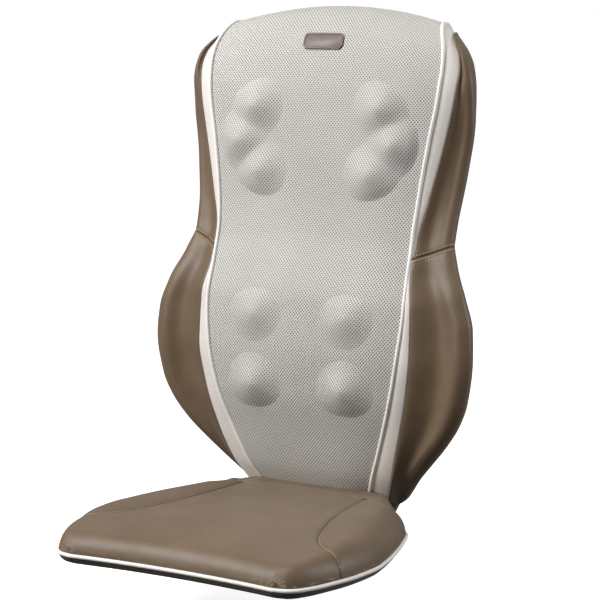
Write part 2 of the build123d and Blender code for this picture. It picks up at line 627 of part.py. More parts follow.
def seat_parts():
    """All the seat's own pieces, by node name."""
    base_top = SEAT_BASE_T
    piping_top = base_top + SEAT_PIPING
    board_z = WALL
    hollow = seat_slab(board_z, board_z + SEAT_BOARD_T, BOARD_INSET)
    base = seat_slab(0, base_top, SEAT_BASE_INSET) - hollow
    foam = seat_slab(base_top + CLEAR, SEAT_FOAM_TOP, SEAT_FOAM_INSET)
    pod_z = base_top + CLEAR + 2
    pod_centre = Pos(0, POD_Y, pod_z + POD[2] / 2)
    foam = foam - pod_centre * Box(POD[0] + 1, POD[1] + 1, POD[2] + 1)
    ring = seat_slab(base_top + CLEAR, piping_top, -1) - seat_slab(base_top, piping_top + 1, SEAT_PIPING + 1)
    ring = ring - Pos(0, HINGE_Y, 0) * Box(FAR * 2, 60, FAR)
    filling = seat_slab(0, SEAT_FOAM_TOP + CLEAR, SEAT_FOAM_INSET - CLEAR)
    skin = seat_slab(piping_top + CLEAR, SEAT_TOP) - filling
    outside = seam_side()
    right = skin & outside
    centre = skin - outside - mirrored(outside)
    parts = {
        "seat_base_cover": base,
        "seat_board": hollow,
        "seat_foam": foam,
        "seat_piping": ring,
        "seat_centre_cover": centre,
        "seat_right_bolster": right,
        "seat_left_bolster": mirrored(right),
    }
    parts.update(vibration_parts(pod_centre))
    return parts


def vibration_parts(centre):
    """Pod with its lid, the vibration motor and the eccentric weight, turning about X."""
    size_x, size_y, size_z = POD
    inner = Box(size_x - 2 * POD_WALL, size_y - 2 * POD_WALL, size_z)
    lid_z = size_z / 2 - POD_WALL
    tub = Box(size_x, size_y, size_z) - Pos(0, 0, POD_WALL) * inner
    tub = tub & Pos(0, 0, -POD_WALL) * Box(size_x, size_y, size_z)
    lid = Pos(0, 0, lid_z + POD_WALL / 2) * Box(size_x, size_y, POD_WALL)
    along_x = Rot(0, 90, 0)
    motor_x = -size_x / 2 + POD_WALL + SEAT_MOTOR_LENGTH / 2
    motor = Pos(motor_x, 0, 0) * along_x * Cylinder(SEAT_MOTOR_R, SEAT_MOTOR_LENGTH)
    face_x = motor_x + SEAT_MOTOR_LENGTH / 2
    motor = motor - Pos(face_x, 0, 0) * along_x * Cylinder(WEIGHT_SHAFT_R + RUN, 16)
    saddle = Pos(motor_x, 0, -size_z / 4 - SEAT_MOTOR_R / 2) * Box(
        SEAT_MOTOR_LENGTH, SEAT_MOTOR_R, size_z / 2 - SEAT_MOTOR_R)
    tub = tub + (saddle - motor) & Box(size_x, size_y, size_z)
    disc = along_x * Cylinder(WEIGHT_R, WEIGHT_T)
    half = disc & Pos(0, 0, -WEIGHT_R / 2 + 1) * Box(WEIGHT_T, 2 * WEIGHT_R, WEIGHT_R + 2)
    weight = half + along_x * Cylinder(WEIGHT_SHAFT_R + 1.5, WEIGHT_T)
    weight = Pos(face_x + 6 + WEIGHT_T / 2, 0, 0) * weight
    shaft = along_x * Cylinder(WEIGHT_SHAFT_R, WEIGHT_SHAFT_LENGTH)
    weight = weight + Pos(face_x - 7 + WEIGHT_SHAFT_LENGTH / 2, 0, 0) * shaft
    return {
        "vibration_pod": centre * tub,
        "vibration_pod_lid": centre * lid,
        "vibration_motor": centre * motor,
        "eccentric_weight": centre * weight,
    }


def hinge_flap(mesh_front):
    """Cloth web that joins the back's lower edge to the seat's rear edge."""
    rear = REAR_Y - FLAP_REACH
    length = rear - HINGE_Y - CLEAR
    web = Pos(0, rear - length / 2, HINGE_Z - 2 - FLAP_T / 2) * Box(2 * FLAP_HALF, length, FLAP_T)
    return web - mesh_front


# ---- assembly -----------------------------------------------------------------------------
def back_parts():
    """All the back's pieces on the bench, by node name."""
    mesh = mesh_panel()
    parts = {
        "rear_tray": rear_tray(),
        "front_frame": front_frame(),
        "frame_screws": frame_screws(),
        "back_foam_pad": back_foam_pad(),
        "mesh_panel": mesh,
        "rear_cover": rear_cover(),
        "bottom_cover": bottom_cover(),
        "badge": badge(mesh),
        "dc_inlet": dc_inlet(),
        "handset_gland": handset_gland(),
        "control_board": control_board(),
        "board_standoffs": board_standoffs(),
        "gearbox_screws": gearbox_screws(),
        "shaft_bushes": shaft_bushes(),
        "worm_bearings": worm_bearings(),
    }
    right_side = {
        "upper_{}_gusset": gusset(WAIST + GUSSET_PINCH, BACK_TOP),
        "lower_{}_gusset": gusset(0, WAIST - GUSSET_PINCH),
        "{}_piping": piping(),
        "upper_{}_wing": wing(True),
        "lower_{}_wing": wing(False),
    }
    for name, solid in right_side.items():
        parts[name.format("right")] = solid
        parts[name.format("left")] = mirrored(solid)
    for name, height in zip(("lower", "upper"), STRAP_HEIGHTS):
        parts[name + "_chair_strap"] = chair_strap(height)
    parts["strap_buckles"] = Compound(children=[strap_buckle(height) for height in STRAP_HEIGHTS])
    for name, unit in UNITS.items():
        parts[name + "_gearbox_housing"] = gearbox_housing(unit)
        parts[name + "_gearbox_cover"] = gearbox_cover(unit)
        parts[name + "_drive_motor"] = drive_motor(unit)
        parts[name + "_worm"] = worm(unit)
        for side, word in ((-1, "left"), (1, "right")):
            parts[f"{name}_{word}_worm_wheel"] = worm_wheel(unit, side)
            parts[f"{name}_{word}_arm"] = head_arm(unit, side)
            parts[f"{name}_{word}_balls"] = kneading_balls(unit, side)
    return parts


def stood(shape):
    """A bench shape leaned back and stood at its place."""
    return Pos(0, REAR_Y, 0) * Rot(-LEAN, 0, 0) * shape


def build():
    """Every node at its place, and the shift that centred them."""
    parts = {name: stood(solid) for name, solid in back_parts().items()}
    parts["bottom_cover"] = parts["bottom_cover"] & Pos(0, 0, FAR / 2) * Box(2 * FAR, 2 * FAR, FAR)
    parts["seat_hinge_flap"] = hinge_flap(stood(depth_band(MESH_DEPTH, CROWN + CLEAR)))
    parts.update(seat_parts())
    boxes = [shape.bounding_box() for shape in parts.values()]
    y_low, y_high = min(box.min.Y for box in boxes), max(box.max.Y for box in boxes)
    shift = Vector(0, -(y_low + y_high) / 2, -min(box.min.Z for box in boxes))
    return {name: Pos(shift.X, shift.Y, shift.Z) * shape for name, shape in parts.items()}, shift


nodes, shift = build()
os.makedirs("parts", exist_ok=True)
for node_name, shape in nodes.items():
    export_step(shape, f"parts/{node_name}.step")
print(len(nodes), "nodes; shift", shift)
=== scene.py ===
"""Looks of a massage cushion for a chair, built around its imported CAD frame.

The back is drawn on a bench, in millimetres: x across, w forward from its flat rear, and v up.
"""
import sys
import json
import logging
import math
from dataclasses import dataclass, field
from enum import Enum
from typing import Callable, Sequence

import bmesh
import bpy
import numpy as np
from mathutils import Matrix, Vector


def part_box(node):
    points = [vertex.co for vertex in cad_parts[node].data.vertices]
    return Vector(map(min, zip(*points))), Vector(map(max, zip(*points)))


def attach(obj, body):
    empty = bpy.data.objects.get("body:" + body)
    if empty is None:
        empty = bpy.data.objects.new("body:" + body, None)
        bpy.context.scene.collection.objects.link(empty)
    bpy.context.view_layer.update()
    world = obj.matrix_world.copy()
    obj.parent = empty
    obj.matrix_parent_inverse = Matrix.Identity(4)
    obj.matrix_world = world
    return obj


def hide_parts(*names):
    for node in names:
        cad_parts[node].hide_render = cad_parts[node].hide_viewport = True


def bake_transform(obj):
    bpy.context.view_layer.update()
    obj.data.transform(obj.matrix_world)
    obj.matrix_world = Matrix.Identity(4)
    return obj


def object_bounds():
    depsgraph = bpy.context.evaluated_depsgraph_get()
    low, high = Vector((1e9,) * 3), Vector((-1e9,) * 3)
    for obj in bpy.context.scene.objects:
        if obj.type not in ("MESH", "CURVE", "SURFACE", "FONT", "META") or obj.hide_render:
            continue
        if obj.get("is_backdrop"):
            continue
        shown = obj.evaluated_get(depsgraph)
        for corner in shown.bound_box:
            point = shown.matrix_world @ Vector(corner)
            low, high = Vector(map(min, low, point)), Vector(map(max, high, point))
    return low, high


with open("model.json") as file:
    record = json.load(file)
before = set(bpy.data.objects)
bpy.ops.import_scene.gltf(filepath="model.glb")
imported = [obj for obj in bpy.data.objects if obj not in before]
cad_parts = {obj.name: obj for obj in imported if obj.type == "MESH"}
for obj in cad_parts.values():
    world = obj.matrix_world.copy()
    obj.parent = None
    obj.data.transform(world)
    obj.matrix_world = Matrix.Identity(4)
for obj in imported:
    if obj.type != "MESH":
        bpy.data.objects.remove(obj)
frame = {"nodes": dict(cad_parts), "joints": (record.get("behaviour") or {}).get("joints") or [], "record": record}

CAD_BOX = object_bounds()
MM = 0.001
LOG = logging.getLogger("massage_cushion")
ACROSS = Vector((1, 0, 0))
Place = Callable[[float, float], Vector]
Mesh = bmesh.types.BMesh
Node = bpy.types.Node
Socket = bpy.types.NodeSocket
Tree = bpy.types.NodeTree

UPPER_LEFT_HEAD = (-71.0, 36.0, 524.0)  # the head's axis on the bench
FOOT = 3.0  # the cover's lower edge, up the bench
MERGE = 0.02  # points closer than this, in millimetres, are one


class Side(Enum):
    """The two halves of the cushion, as seen from the front."""

    LEFT = -1
    RIGHT = 1

    @property
    def word(self) -> str:
        """The side's name in a piece's name."""
        return self.name.lower()


def joint_named(name: str) -> dict:
    """The frame's joint of that name."""
    return next(j for j in frame["joints"] if j["name"] == name)


# ---- smooth lines -------------------------------------------------------------------------
def ease(share: float) -> float:
    """A share held from 0 to 1, with a slow start and a slow end."""
    share = min(max(share, 0.0), 1.0)
    return share * share * (3 - 2 * share)


def run_along(line: np.ndarray) -> np.ndarray:
    """The length along a line up to each of its points."""
    return np.concatenate([[0.0], np.cumsum(np.linalg.norm(np.diff(line, axis=0), axis=1))])


class Smooth:
    """A monotone cubic through knots, held level past both ends."""

    def __init__(self, knots: Sequence[tuple[float, float]]) -> None:
        """Works out the slopes at the knots.

        Args:
            knots: pairs of place and value, in any order.
        """
        data = np.array(sorted(knots), float)
        self.at, self.value = data[:, 0], data[:, 1]
        step = np.diff(self.at)
        rise = np.diff(self.value) / step
        slope = np.zeros(len(self.at))
        slope[0], slope[-1] = rise[0], rise[-1]
        for i in range(1, len(slope) - 1):
            if rise[i - 1] * rise[i] > 0:
                a, b = 2 * step[i] + step[i - 1], step[i] + 2 * step[i - 1]
                slope[i] = (a + b) / (a / rise[i - 1] + b / rise[i])
        self.slope = slope

    def __call__(self, place: float) -> float:
        """The value at a place."""
        place = min(max(place, self.at[0]), self.at[-1])
        i = int(np.clip(np.searchsorted(self.at, place, "right") - 1, 0, len(self.at) - 2))
        step = self.at[i + 1] - self.at[i]
        t = (place - self.at[i]) / step
        a = (1 + 2 * t) * (1 - t) ** 2 * self.value[i] + t * t * (3 - 2 * t) * self.value[i + 1]
        b = t * (1 - t) ** 2 * self.slope[i] - t * t * (1 - t) * self.slope[i + 1]
        return float(a + b * step)


def closed_line(points: Sequence[tuple[float, float]], share: float) -> tuple[float, float]:
    """A point of the closed smooth line through some points.

    Args:
        points: the line's points, in order.
        share: how far round, from 0 to 1.

    Returns:
        The point.
    """
    count = len(points)
    place = (share % 1.0) * count
    i, t = int(place), place - int(place)
    p = [np.array(points[(i + k) % count], float) for k in (-1, 0, 1, 2)]
    out = 0.5 * (2 * p[1] + (p[2] - p[0]) * t + (2 * p[0] - 5 * p[1] + 4 * p[2] - p[3]) * t * t
                 + (3 * p[1] - p[0] - 3 * p[2] + p[3]) * t ** 3)
    return float(out[0]), float(out[1])


@dataclass(frozen=True)
class Bench:
    """The back's own frame, leaned as the CAD leans it."""

    origin: Vector
    forward: Vector
    up: Vector

    @classmethod
    def of_frame(cls) -> "Bench":
        """Reads the bench from the axis of the upper left head, whose place on it is known."""
        joint = joint_named("upper_left_spin")
        forward = Vector(joint["axis"]).normalized()
        up = forward.cross(ACROSS)
        x, w, v = UPPER_LEFT_HEAD
        origin = Vector(joint["pos_m"]) - (ACROSS * x + forward * w + up * v) * MM
        return cls(origin, forward, up)

    def point(self, x: float, w: float, v: float) -> Vector:
        """A bench point in the row frame, in metres."""
        return self.origin + (ACROSS * x + self.forward * w + self.up * v) * MM


BENCH = Bench.of_frame()


# ---- meshes -------------------------------------------------------------------------------
def grid_mesh(columns: int, rows: int, place: Place, size: Place | None = None) -> Mesh:
    """A grid laid over a surface.

    Args:
        columns: faces across.
        rows: faces along.
        place: gives the point for two shares from 0 to 1.
        size: gives the map point in metres for the two shares, for patterns that follow the cloth.

    Returns:
        The mesh, with a map when size is given.
    """
    bm = bmesh.new()
    bmesh.ops.create_grid(bm, x_segments=columns, y_segments=rows, size=0.5)
    if size:
        layer = bm.loops.layers.uv.new("cloth")
        for face in bm.faces:
            for loop in face.loops:
                loop[layer].uv = size(loop.vert.co.x + 0.5, loop.vert.co.y + 0.5)[:2]
    for vert in bm.verts:
        vert.co = place(vert.co.x + 0.5, vert.co.y + 0.5)
    return bm


def close_ends(bm: Mesh) -> None:
    """Joins a wrapped grid's seam and fills its open ends."""
    bmesh.ops.remove_doubles(bm, verts=bm.verts[:], dist=MERGE * MM)
    bmesh.ops.holes_fill(bm, edges=[e for e in bm.edges if e.is_boundary])
    bmesh.ops.recalc_face_normals(bm, faces=bm.faces[:])


def close_under(bm: Mesh, height: float) -> None:
    """Turns an open pad face into a closed form with a flat other side.

    Args:
        bm: the open face.
        height: where the flat side is, in metres.
    """
    made = bmesh.ops.extrude_face_region(bm, geom=bm.faces[:])["geom"]
    for vert in made:
        if isinstance(vert, bmesh.types.BMVert):
            vert.co.z = height
    bmesh.ops.dissolve_degenerate(bm, dist=MERGE / 2 * MM, edges=bm.edges[:])
    bmesh.ops.recalc_face_normals(bm, faces=bm.faces[:])


def tube_mesh(path: Callable[[float], Vector], radius: float, steps: int, around: int = 10) -> Mesh:
    """A round cord along a path.

    Args:
        path: gives the centre for a share from 0 to 1.
        radius: in metres.
        steps: faces along.
        around: faces round.

    Returns:
        The closed mesh.
    """
    near = 0.001  # how far to look along the path for its direction
    too_flat = 0.05

    def place(u: float, t: float) -> Vector:
        """A point on the cord."""
        before, after = path(max(t - near, 0.0)), path(min(t + near, 1.0))
        along = (after - before).normalized()
        across = along.cross(BENCH.forward)
        if across.length < too_flat:
            across = along.cross(BENCH.up)
        across.normalize()
        rise = across.cross(along)
        turn = 2 * math.pi * u
        return path(t) + (across * math.cos(turn) + rise * math.sin(turn)) * radius

    def size(u: float, t: float) -> Vector:
        """The map point, about true to size."""
        return Vector((u * 2 * math.pi * radius, t * steps * radius, 0))

    bm = grid_mesh(around, steps, place, size)
    close_ends(bm)
    return bm


def mirrored(bm: Mesh) -> Mesh:
    """The same mesh on the other side."""
    for vert in bm.verts:
        vert.co.x = -vert.co.x
    bmesh.ops.reverse_faces(bm, faces=bm.faces[:])
    return bm


def joined(parts: Sequence[Mesh]) -> Mesh:
    """One mesh made of several, which are freed."""
    whole = bmesh.new()
    for part in parts:
        data = bpy.data.meshes.new("part")
        part.to_mesh(data)
        part.free()
        whole.from_mesh(data)
        bpy.data.meshes.remove(data)
    return whole


def piece(name: str, bm: Mesh, finish: "Finish", body: str | None, replaces: Sequence[str] = (),
          thick: float = 0.0) -> bpy.types.Object:
    """Makes a finished piece of a mesh, and frees the mesh.

    Args:
        name: the piece's name.
        bm: its mesh, in place.
        finish: what it is made of.
        body: the CAD body that it rides on, or None.
        replaces: the CAD nodes that it stands for.
        thick: the cloth's thickness in millimetres, laid inwards.

    Returns:
        The object.
    """
    data = bpy.data.meshes.new(name)
    bm.to_mesh(data)
    bm.free()
    data.shade_smooth()
    thing = bpy.data.objects.new(name, data)
    bpy.context.scene.collection.objects.link(thing)
    data.materials.append(finish.material())
    if thick:
        wall = thing.modifiers.new("cloth", "SOLIDIFY")
        wall.thickness, wall.offset = thick * MM, -1.0
    if body:
        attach(thing, body)
    if replaces:
        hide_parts(*replaces)
    LOG.info("%s: %d faces", name, len(data.polygons))
    return thing


def stitch_mesh(points: Sequence[Vector], lift: Sequence[Vector], pitch: float = 4.6,
                length: float = 3.3, radius: float = 0.42) -> Mesh:
    """Thread stitches laid along a line.

    Args:
        points: the line.
        lift: the surface's outward direction at each point.
        pitch: from stitch to stitch, in millimetres.
        length: of one stitch.
        radius: of the thread.

    Returns:
        The mesh of all the stitches.
    """
    bm = bmesh.new()
    line = np.array([list(p) for p in points])
    normals = np.array([list(n) for n in lift])
    run = run_along(line)

    def on_line(at: float, rows: np.ndarray) -> Vector:
        """The rows' value at a length along the line."""
        return Vector([np.interp(at, run, rows[:, k]) for k in range(3)])

    look_ahead = 0.5 * MM
    sunk = 0.6  # share of the thread's radius that stands over the surface at its middle
    for at in np.arange(pitch * MM, run[-1] - pitch * MM / 2, pitch * MM):
        here = on_line(at, line)
        out = on_line(at, normals).normalized()
        along = on_line(at + look_ahead, line) - here
        turn = along.to_track_quat("Z", "Y").to_matrix().to_4x4()
        where = Matrix.Translation(here + out * radius * sunk * MM) @ turn
        bmesh.ops.create_cone(bm, cap_ends=True, segments=6, radius1=radius * MM,
                              radius2=radius * MM, depth=length * MM, matrix=where)
    return bm


# ---- finishes -----------------------------------------------------------------------------
def linear(colour: str) -> tuple[float, float, float, float]:
    """An sRGB hex colour as a linear one."""
    parts = [int(colour[i:i + 2], 16) / 255 for i in (1, 3, 5)]
    plain = (p / 12.92 if p <= 0.04045 else ((p + 0.055) / 1.055) ** 2.4 for p in parts)
    return (*plain, 1.0)


def add_node(tree: Tree, kind: str, inputs: dict | None = None, **settings) -> Node:
    """Adds a node with its settings and links.

    Args:
        tree: where it goes.
        kind: the node's type.
        inputs: a value or an output socket for each input, by name or number.
        settings: the node's own properties.

    Returns:
        The node.
    """
    node = tree.nodes.new(kind)
    for key, value in settings.items():
        setattr(node, key, value)
    for key, value in (inputs or {}).items():
        if isinstance(value, Socket):
            tree.links.new(value, node.inputs[key])
        else:
            node.inputs[key].default_value = value
    return node


@dataclass(frozen=True)
class Finish:
    """A surface: its name, its two colours and how glossy it is."""

    name: str
    colour: str
    shade: str
    roughness: float = 0.5
    metallic: float = 0.0
    ior: float = 1.5
    mottle_mm: float = 60.0  # size of the slow change from colour to shade

    def material(self) -> bpy.types.Material:
        """The finish's material, made once."""
        found = bpy.data.materials.get(self.name)
        if found:
            return found
        made = bpy.data.materials.new(self.name)
        made.use_nodes = True
        tree = made.node_tree
        shader = tree.nodes["Principled BSDF"]
        shader.inputs["Roughness"].default_value = self.roughness
        shader.inputs["Metallic"].default_value = self.metallic
        shader.inputs["IOR"].default_value = self.ior
        self.dress(tree, shader, add_node(tree, "ShaderNodeTexCoord").outputs["Object"])
        return made

    def dress(self, tree: Tree, shader: Node, at: Socket) -> None:
        """Gives the shader its colour and relief: a moulded surface with a fine even texture."""
        tree.links.new(self.mottled(tree, at), shader.inputs["Base Color"])
        grit = add_node(tree, "ShaderNodeTexNoise", {"Vector": at, "Scale": 1 / (1.1 * MM)})
        relief = add_node(tree, "ShaderNodeBump", {
            "Height": grit.outputs["Fac"], "Distance": 0.12 * MM, "Strength": 0.25})
        tree.links.new(relief.outputs["Normal"], shader.inputs["Normal"])

    def mottled(self, tree: Tree, at: Socket) -> Socket:
        """The slow change between the two colours."""
        blots = add_node(tree, "ShaderNodeTexNoise", {
            "Vector": at, "Scale": 1 / (self.mottle_mm * MM), "Detail": 3.0})
        blend = add_node(tree, "ShaderNodeValToRGB", {"Fac": blots.outputs["Fac"]})
        stops = ((0.3, self.shade), (0.7, self.colour))
        for element, (place, colour) in zip(blend.color_ramp.elements, stops):
            element.position, element.color = place, linear(colour)
        return blend.outputs["Color"]


def crossed_waves(tree: Tree, pitches_mm: tuple[float, float], turn: float, shape: str) -> Socket:
    """Two waves multiplied, one along each way of the cloth's own map.

    Args:
        tree: where the nodes go.
        pitches_mm: the waves' pitches along the two ways.
        turn: the angle that a wave goes through in one pitch.
        shape: SINE or COSINE.

    Returns:
        The product, from -1 to 1.
    """
    cloth = add_node(tree, "ShaderNodeUVMap", uv_map="cloth").outputs["UV"]
    apart = add_node(tree, "ShaderNodeSeparateXYZ", {"Vector": cloth})
    waves = []
    for axis, pitch in zip("XY", pitches_mm):
        turned = add_node(tree, "ShaderNodeMath", {
            0: apart.outputs[axis], 1: turn / (pitch * MM)}, operation="MULTIPLY")
        waves.append(add_node(tree, "ShaderNodeMath", {0: turned.outputs[0]}, operation=shape))
    return add_node(tree, "ShaderNodeMath", {
        0: waves[0].outputs[0], 1: waves[1].outputs[0]}, operation="MULTIPLY").outputs[0]


@dataclass(frozen=True)
class Leatherette(Finish):
    """Polyurethane-coated cloth embossed with a fine calf grain: satin, with faint creases."""

    grain_mm: float = 1.5
    crease_mm: float = 38.0
    wear_mm: float = 9.0

    def dress(self, tree: Tree, shader: Node, at: Socket) -> None:
        """Adds the embossed cells, slow undulation and uneven gloss."""
        tree.links.new(self.mottled(tree, at), shader.inputs["Base Color"])
        cells = add_node(tree, "ShaderNodeTexVoronoi", {
            "Vector": at, "Scale": 1 / (self.grain_mm * MM)}, feature="DISTANCE_TO_EDGE")
        swells = add_node(tree, "ShaderNodeTexNoise", {
            "Vector": at, "Scale": 1 / (self.crease_mm * MM)})
        creases = add_node(tree, "ShaderNodeBump", {
            "Height": swells.outputs["Fac"], "Distance": 1.6 * MM, "Strength": 0.35})
        grain = add_node(tree, "ShaderNodeBump", {
            "Height": cells.outputs["Distance"], "Distance": 0.25 * MM, "Strength": 0.22,
            "Normal": creases.outputs["Normal"]})
        tree.links.new(grain.outputs["Normal"], shader.inputs["Normal"])
        wear = add_node(tree, "ShaderNodeTexNoise", {
            "Vector": at, "Scale": 1 / (self.wear_mm * MM), "Detail": 3.0})
        gloss = add_node(tree, "ShaderNodeMapRange", {
            "Value": wear.outputs["Fac"], "To Min": self.roughness - 0.05,
            "To Max": self.roughness + 0.07})
        tree.links.new(gloss.outputs["Result"], shader.inputs["Roughness"])
        shader.inputs["Sheen Weight"].default_value = 0.12
        shader.inputs["Sheen Roughness"].default_value = 0.5


@dataclass(frozen=True)
class SpacerMesh(Finish):
    """Knitted polyester spacer mesh: satin, with small round holes painted darker inside as the shade in their
    depth.
    """

    pitch_mm: float = 4.5  # hole to hole in a row, a little coarser than the knit so that it shows
    row_mm: float = 5.1  # from a row to the next but one
    # the holes' colour: painted shade down in the knit's depth
    inside: str = "#54514C"

    def dress(self, tree: Tree, shader: Node, at: Socket) -> None:
        """Draws the holes on the cloth's own map, from two crossed waves, and paints shade in them."""
        lattice = crossed_waves(tree, (self.pitch_mm, self.row_mm), 2 * math.pi, "COSINE")
        hole = add_node(tree, "ShaderNodeMapRange", {
            "Value": lattice, "From Min": 0.0, "From Max": 0.7},
            interpolation_type="SMOOTHSTEP").outputs["Result"]
        # painted shade: the holes take the dark colour over the cloth's mottle
        colour = add_node(tree, "ShaderNodeMix", {
            "Factor": hole, 6: self.mottled(tree, at), 7: linear(self.inside)}, data_type="RGBA")
        tree.links.new(colour.outputs[2], shader.inputs["Base Color"])
        solid = add_node(tree, "ShaderNodeMath", {0: 1.0, 1: hole}, operation="SUBTRACT")
        yarn = add_node(tree, "ShaderNodeTexNoise", {"Vector": at, "Scale": 1 / (0.7 * MM)})
        weave = add_node(tree, "ShaderNodeBump", {
            "Height": yarn.outputs["Fac"], "Distance": 0.1 * MM, "Strength": 0.3})
        holes = add_node(tree, "ShaderNodeBump", {
            "Height": solid.outputs[0], "Distance": 0.6 * MM, "Strength": 0.45,
            "Normal": weave.outputs["Normal"]})
        tree.links.new(holes.outputs["Normal"], shader.inputs["Normal"])
        shader.inputs["Sheen Weight"].default_value = 0.25
        shader.inputs["Sheen Roughness"].default_value = 0.4


@dataclass(frozen=True)
class Woven(Finish):
    """Plain-woven cloth or webbing: crossed threads with a soft matt face."""

    thread_mm: float = 1.2
    rib: float = 1.0  # how much closer the threads are along than across

    def dress(self, tree: Tree, shader: Node, at: Socket) -> None:
        """Draws the threads on the cloth's own map, with painted shade where they dip."""
        pitches = (self.thread_mm, self.thread_mm / self.rib)
        crossed = crossed_waves(tree, pitches, math.pi, "SINE")
        level = add_node(tree, "ShaderNodeMapRange", {"Value": crossed, "From Min": -1.0})
        height = level.outputs["Result"]
        # painted shade: the low parts between the threads take the darker shade colour
        colour = add_node(tree, "ShaderNodeMix", {
            "Factor": height, 6: linear(self.shade), 7: self.mottled(tree, at)}, data_type="RGBA")
        tree.links.new(colour.outputs[2], shader.inputs["Base Color"])
        relief = add_node(tree, "ShaderNodeBump", {
            "Height": height, "Distance": 0.3 * MM, "Strength": 0.5})
        tree.links.new(relief.outputs["Normal"], shader.inputs["Normal"])
        shader.inputs["Sheen Weight"].default_value = 0.2
        shader.inputs["Sheen Roughness"].default_value = 0.5


@dataclass(frozen=True)
class Metal(Finish):
    """Turned, drawn or plated metal: fine lines along one direction that spread the highlight."""

    line_mm: float = 0.6
    stretch: float = 12.0  # how much longer a line is than it is wide

    def dress(self, tree: Tree, shader: Node, at: Socket) -> None:
        """Adds the drawn lines and a worn gloss."""
        tree.links.new(self.mottled(tree, at), shader.inputs["Base Color"])
        drawn = add_node(tree, "ShaderNodeMapping", {
            "Vector": at, "Scale": (1.0, 1.0, self.stretch)})
        lines = add_node(tree, "ShaderNodeTexNoise", {
            "Vector": drawn.outputs["Vector"], "Scale": 1 / (self.line_mm * self.stretch * MM),
            "Detail": 3.0}).outputs["Fac"]
        relief = add_node(tree, "ShaderNodeBump", {
            "Height": lines, "Distance": 0.05 * MM, "Strength": 0.25})
        tree.links.new(relief.outputs["Normal"], shader.inputs["Normal"])
        gloss = add_node(tree, "ShaderNodeMapRange", {
            "Value": lines, "To Min": self.roughness - 0.06, "To Max": self.roughness + 0.1})
        tree.links.new(gloss.outputs["Result"], shader.inputs["Roughness"])


TAUPE = Leatherette("leatherette_taupe_embossed", "#705C46", "#65523D", roughness=0.48)
UMBER = Leatherette("leatherette_umber_base", "#5A4A3B", "#4D3F31", roughness=0.5)
MESH = SpacerMesh("polyester_spacer_mesh_grey", "#D2CFC9", "#C9C6C0", roughness=0.62, mottle_mm=110)
BAND = Woven("polyester_band_cloth_pink_beige", "#EBE4DD", "#E3DCD5", roughness=0.6, thread_mm=0.8)
PIPING = Finish("piping_vinyl_off_white", "#F7F5F2", "#F0EDE9", roughness=0.38, mottle_mm=25)
REAR_CLOTH = Woven("rear_cloth_woven_umber", "#574A3E", "#463B31", roughness=0.8, thread_mm=1.4)
WEBBING = Woven("polypropylene_webbing_black", "#2B2927", "#1D1B1A", roughness=0.6,
                thread_mm=2.2, rib=2.0)
THREAD = Finish("sewing_thread_bonded_nylon", "#B7A488", "#A8957A", roughness=0.5, mottle_mm=8)
NYLON = Finish("moulded_nylon_black", "#242322", "#1B1A19", roughness=0.42, mottle_mm=20)
CASING = Finish("moulded_abs_graphite", "#3A3936", "#32312F", roughness=0.5, mottle_mm=30)
ACETAL = Finish("moulded_acetal_natural", "#E8E5DC", "#DEDACE", roughness=0.35, ior=1.48,
                mottle_mm=25)
BALL = Finish("moulded_polypropylene_ball_rose", "#B98F86", "#AB8178", roughness=0.32, mottle_mm=18)
STEEL = Metal("drawn_steel_zinc_plated", "#B9BCBF", "#A6A9AD", roughness=0.32, metallic=1.0)
WORM = Metal("turned_steel_oiled", "#9A9CA0", "#85878B", roughness=0.26, metallic=1.0)
BRONZE = Metal("sintered_bronze", "#A9844F", "#8F6D3E", roughness=0.42, metallic=1.0)
BRASS = Metal("turned_brass", "#C7A457", "#B08D43", roughness=0.28, metallic=1.0)
BOARD = Finish("circuit_board_green_mask", "#1F5A38", "#184A2D", roughness=0.3, mottle_mm=6)
RUBBER = Finish("moulded_rubber_black", "#1F1E1D", "#171615", roughness=0.7, mottle_mm=15)
FOAM = Finish("polyurethane_foam_grey", "#8D8A84", "#7B7872", roughness=0.9, mottle_mm=3)
PANEL = Finish("hardboard_pressed_brown", "#7A5C3E", "#6A4F35", roughness=0.75, mottle_mm=7)
ENAMEL = Finish("enamel_mauve_brown", "#6E635F", "#635855", roughness=0.42, ior=1.52, mottle_mm=20)
RIM = Metal("plated_rim_mauve_bronze", "#6E5D5B", "#5D4E4C", roughness=0.42, metallic=0.7)

SLOT_FINISH = {
    "leatherette": TAUPE, "gusset_cloth": CASING, "piping_vinyl": PIPING, "spacer_mesh": CASING,
    "foam": FOAM, "rear_cloth": CASING, "webbing": NYLON, "black_nylon": NYLON,
    "badge_metal": RIM, "moulded_abs": CASING, "seat_board_panel": PANEL, "acetal": ACETAL,
    "motor_steel": STEEL, "worm_steel": WORM, "ball_plastic": BALL, "bronze": BRONZE,
    "screw_steel": STEEL, "circuit_board": BOARD, "brass": BRASS, "grommet_rubber": RUBBER,
}


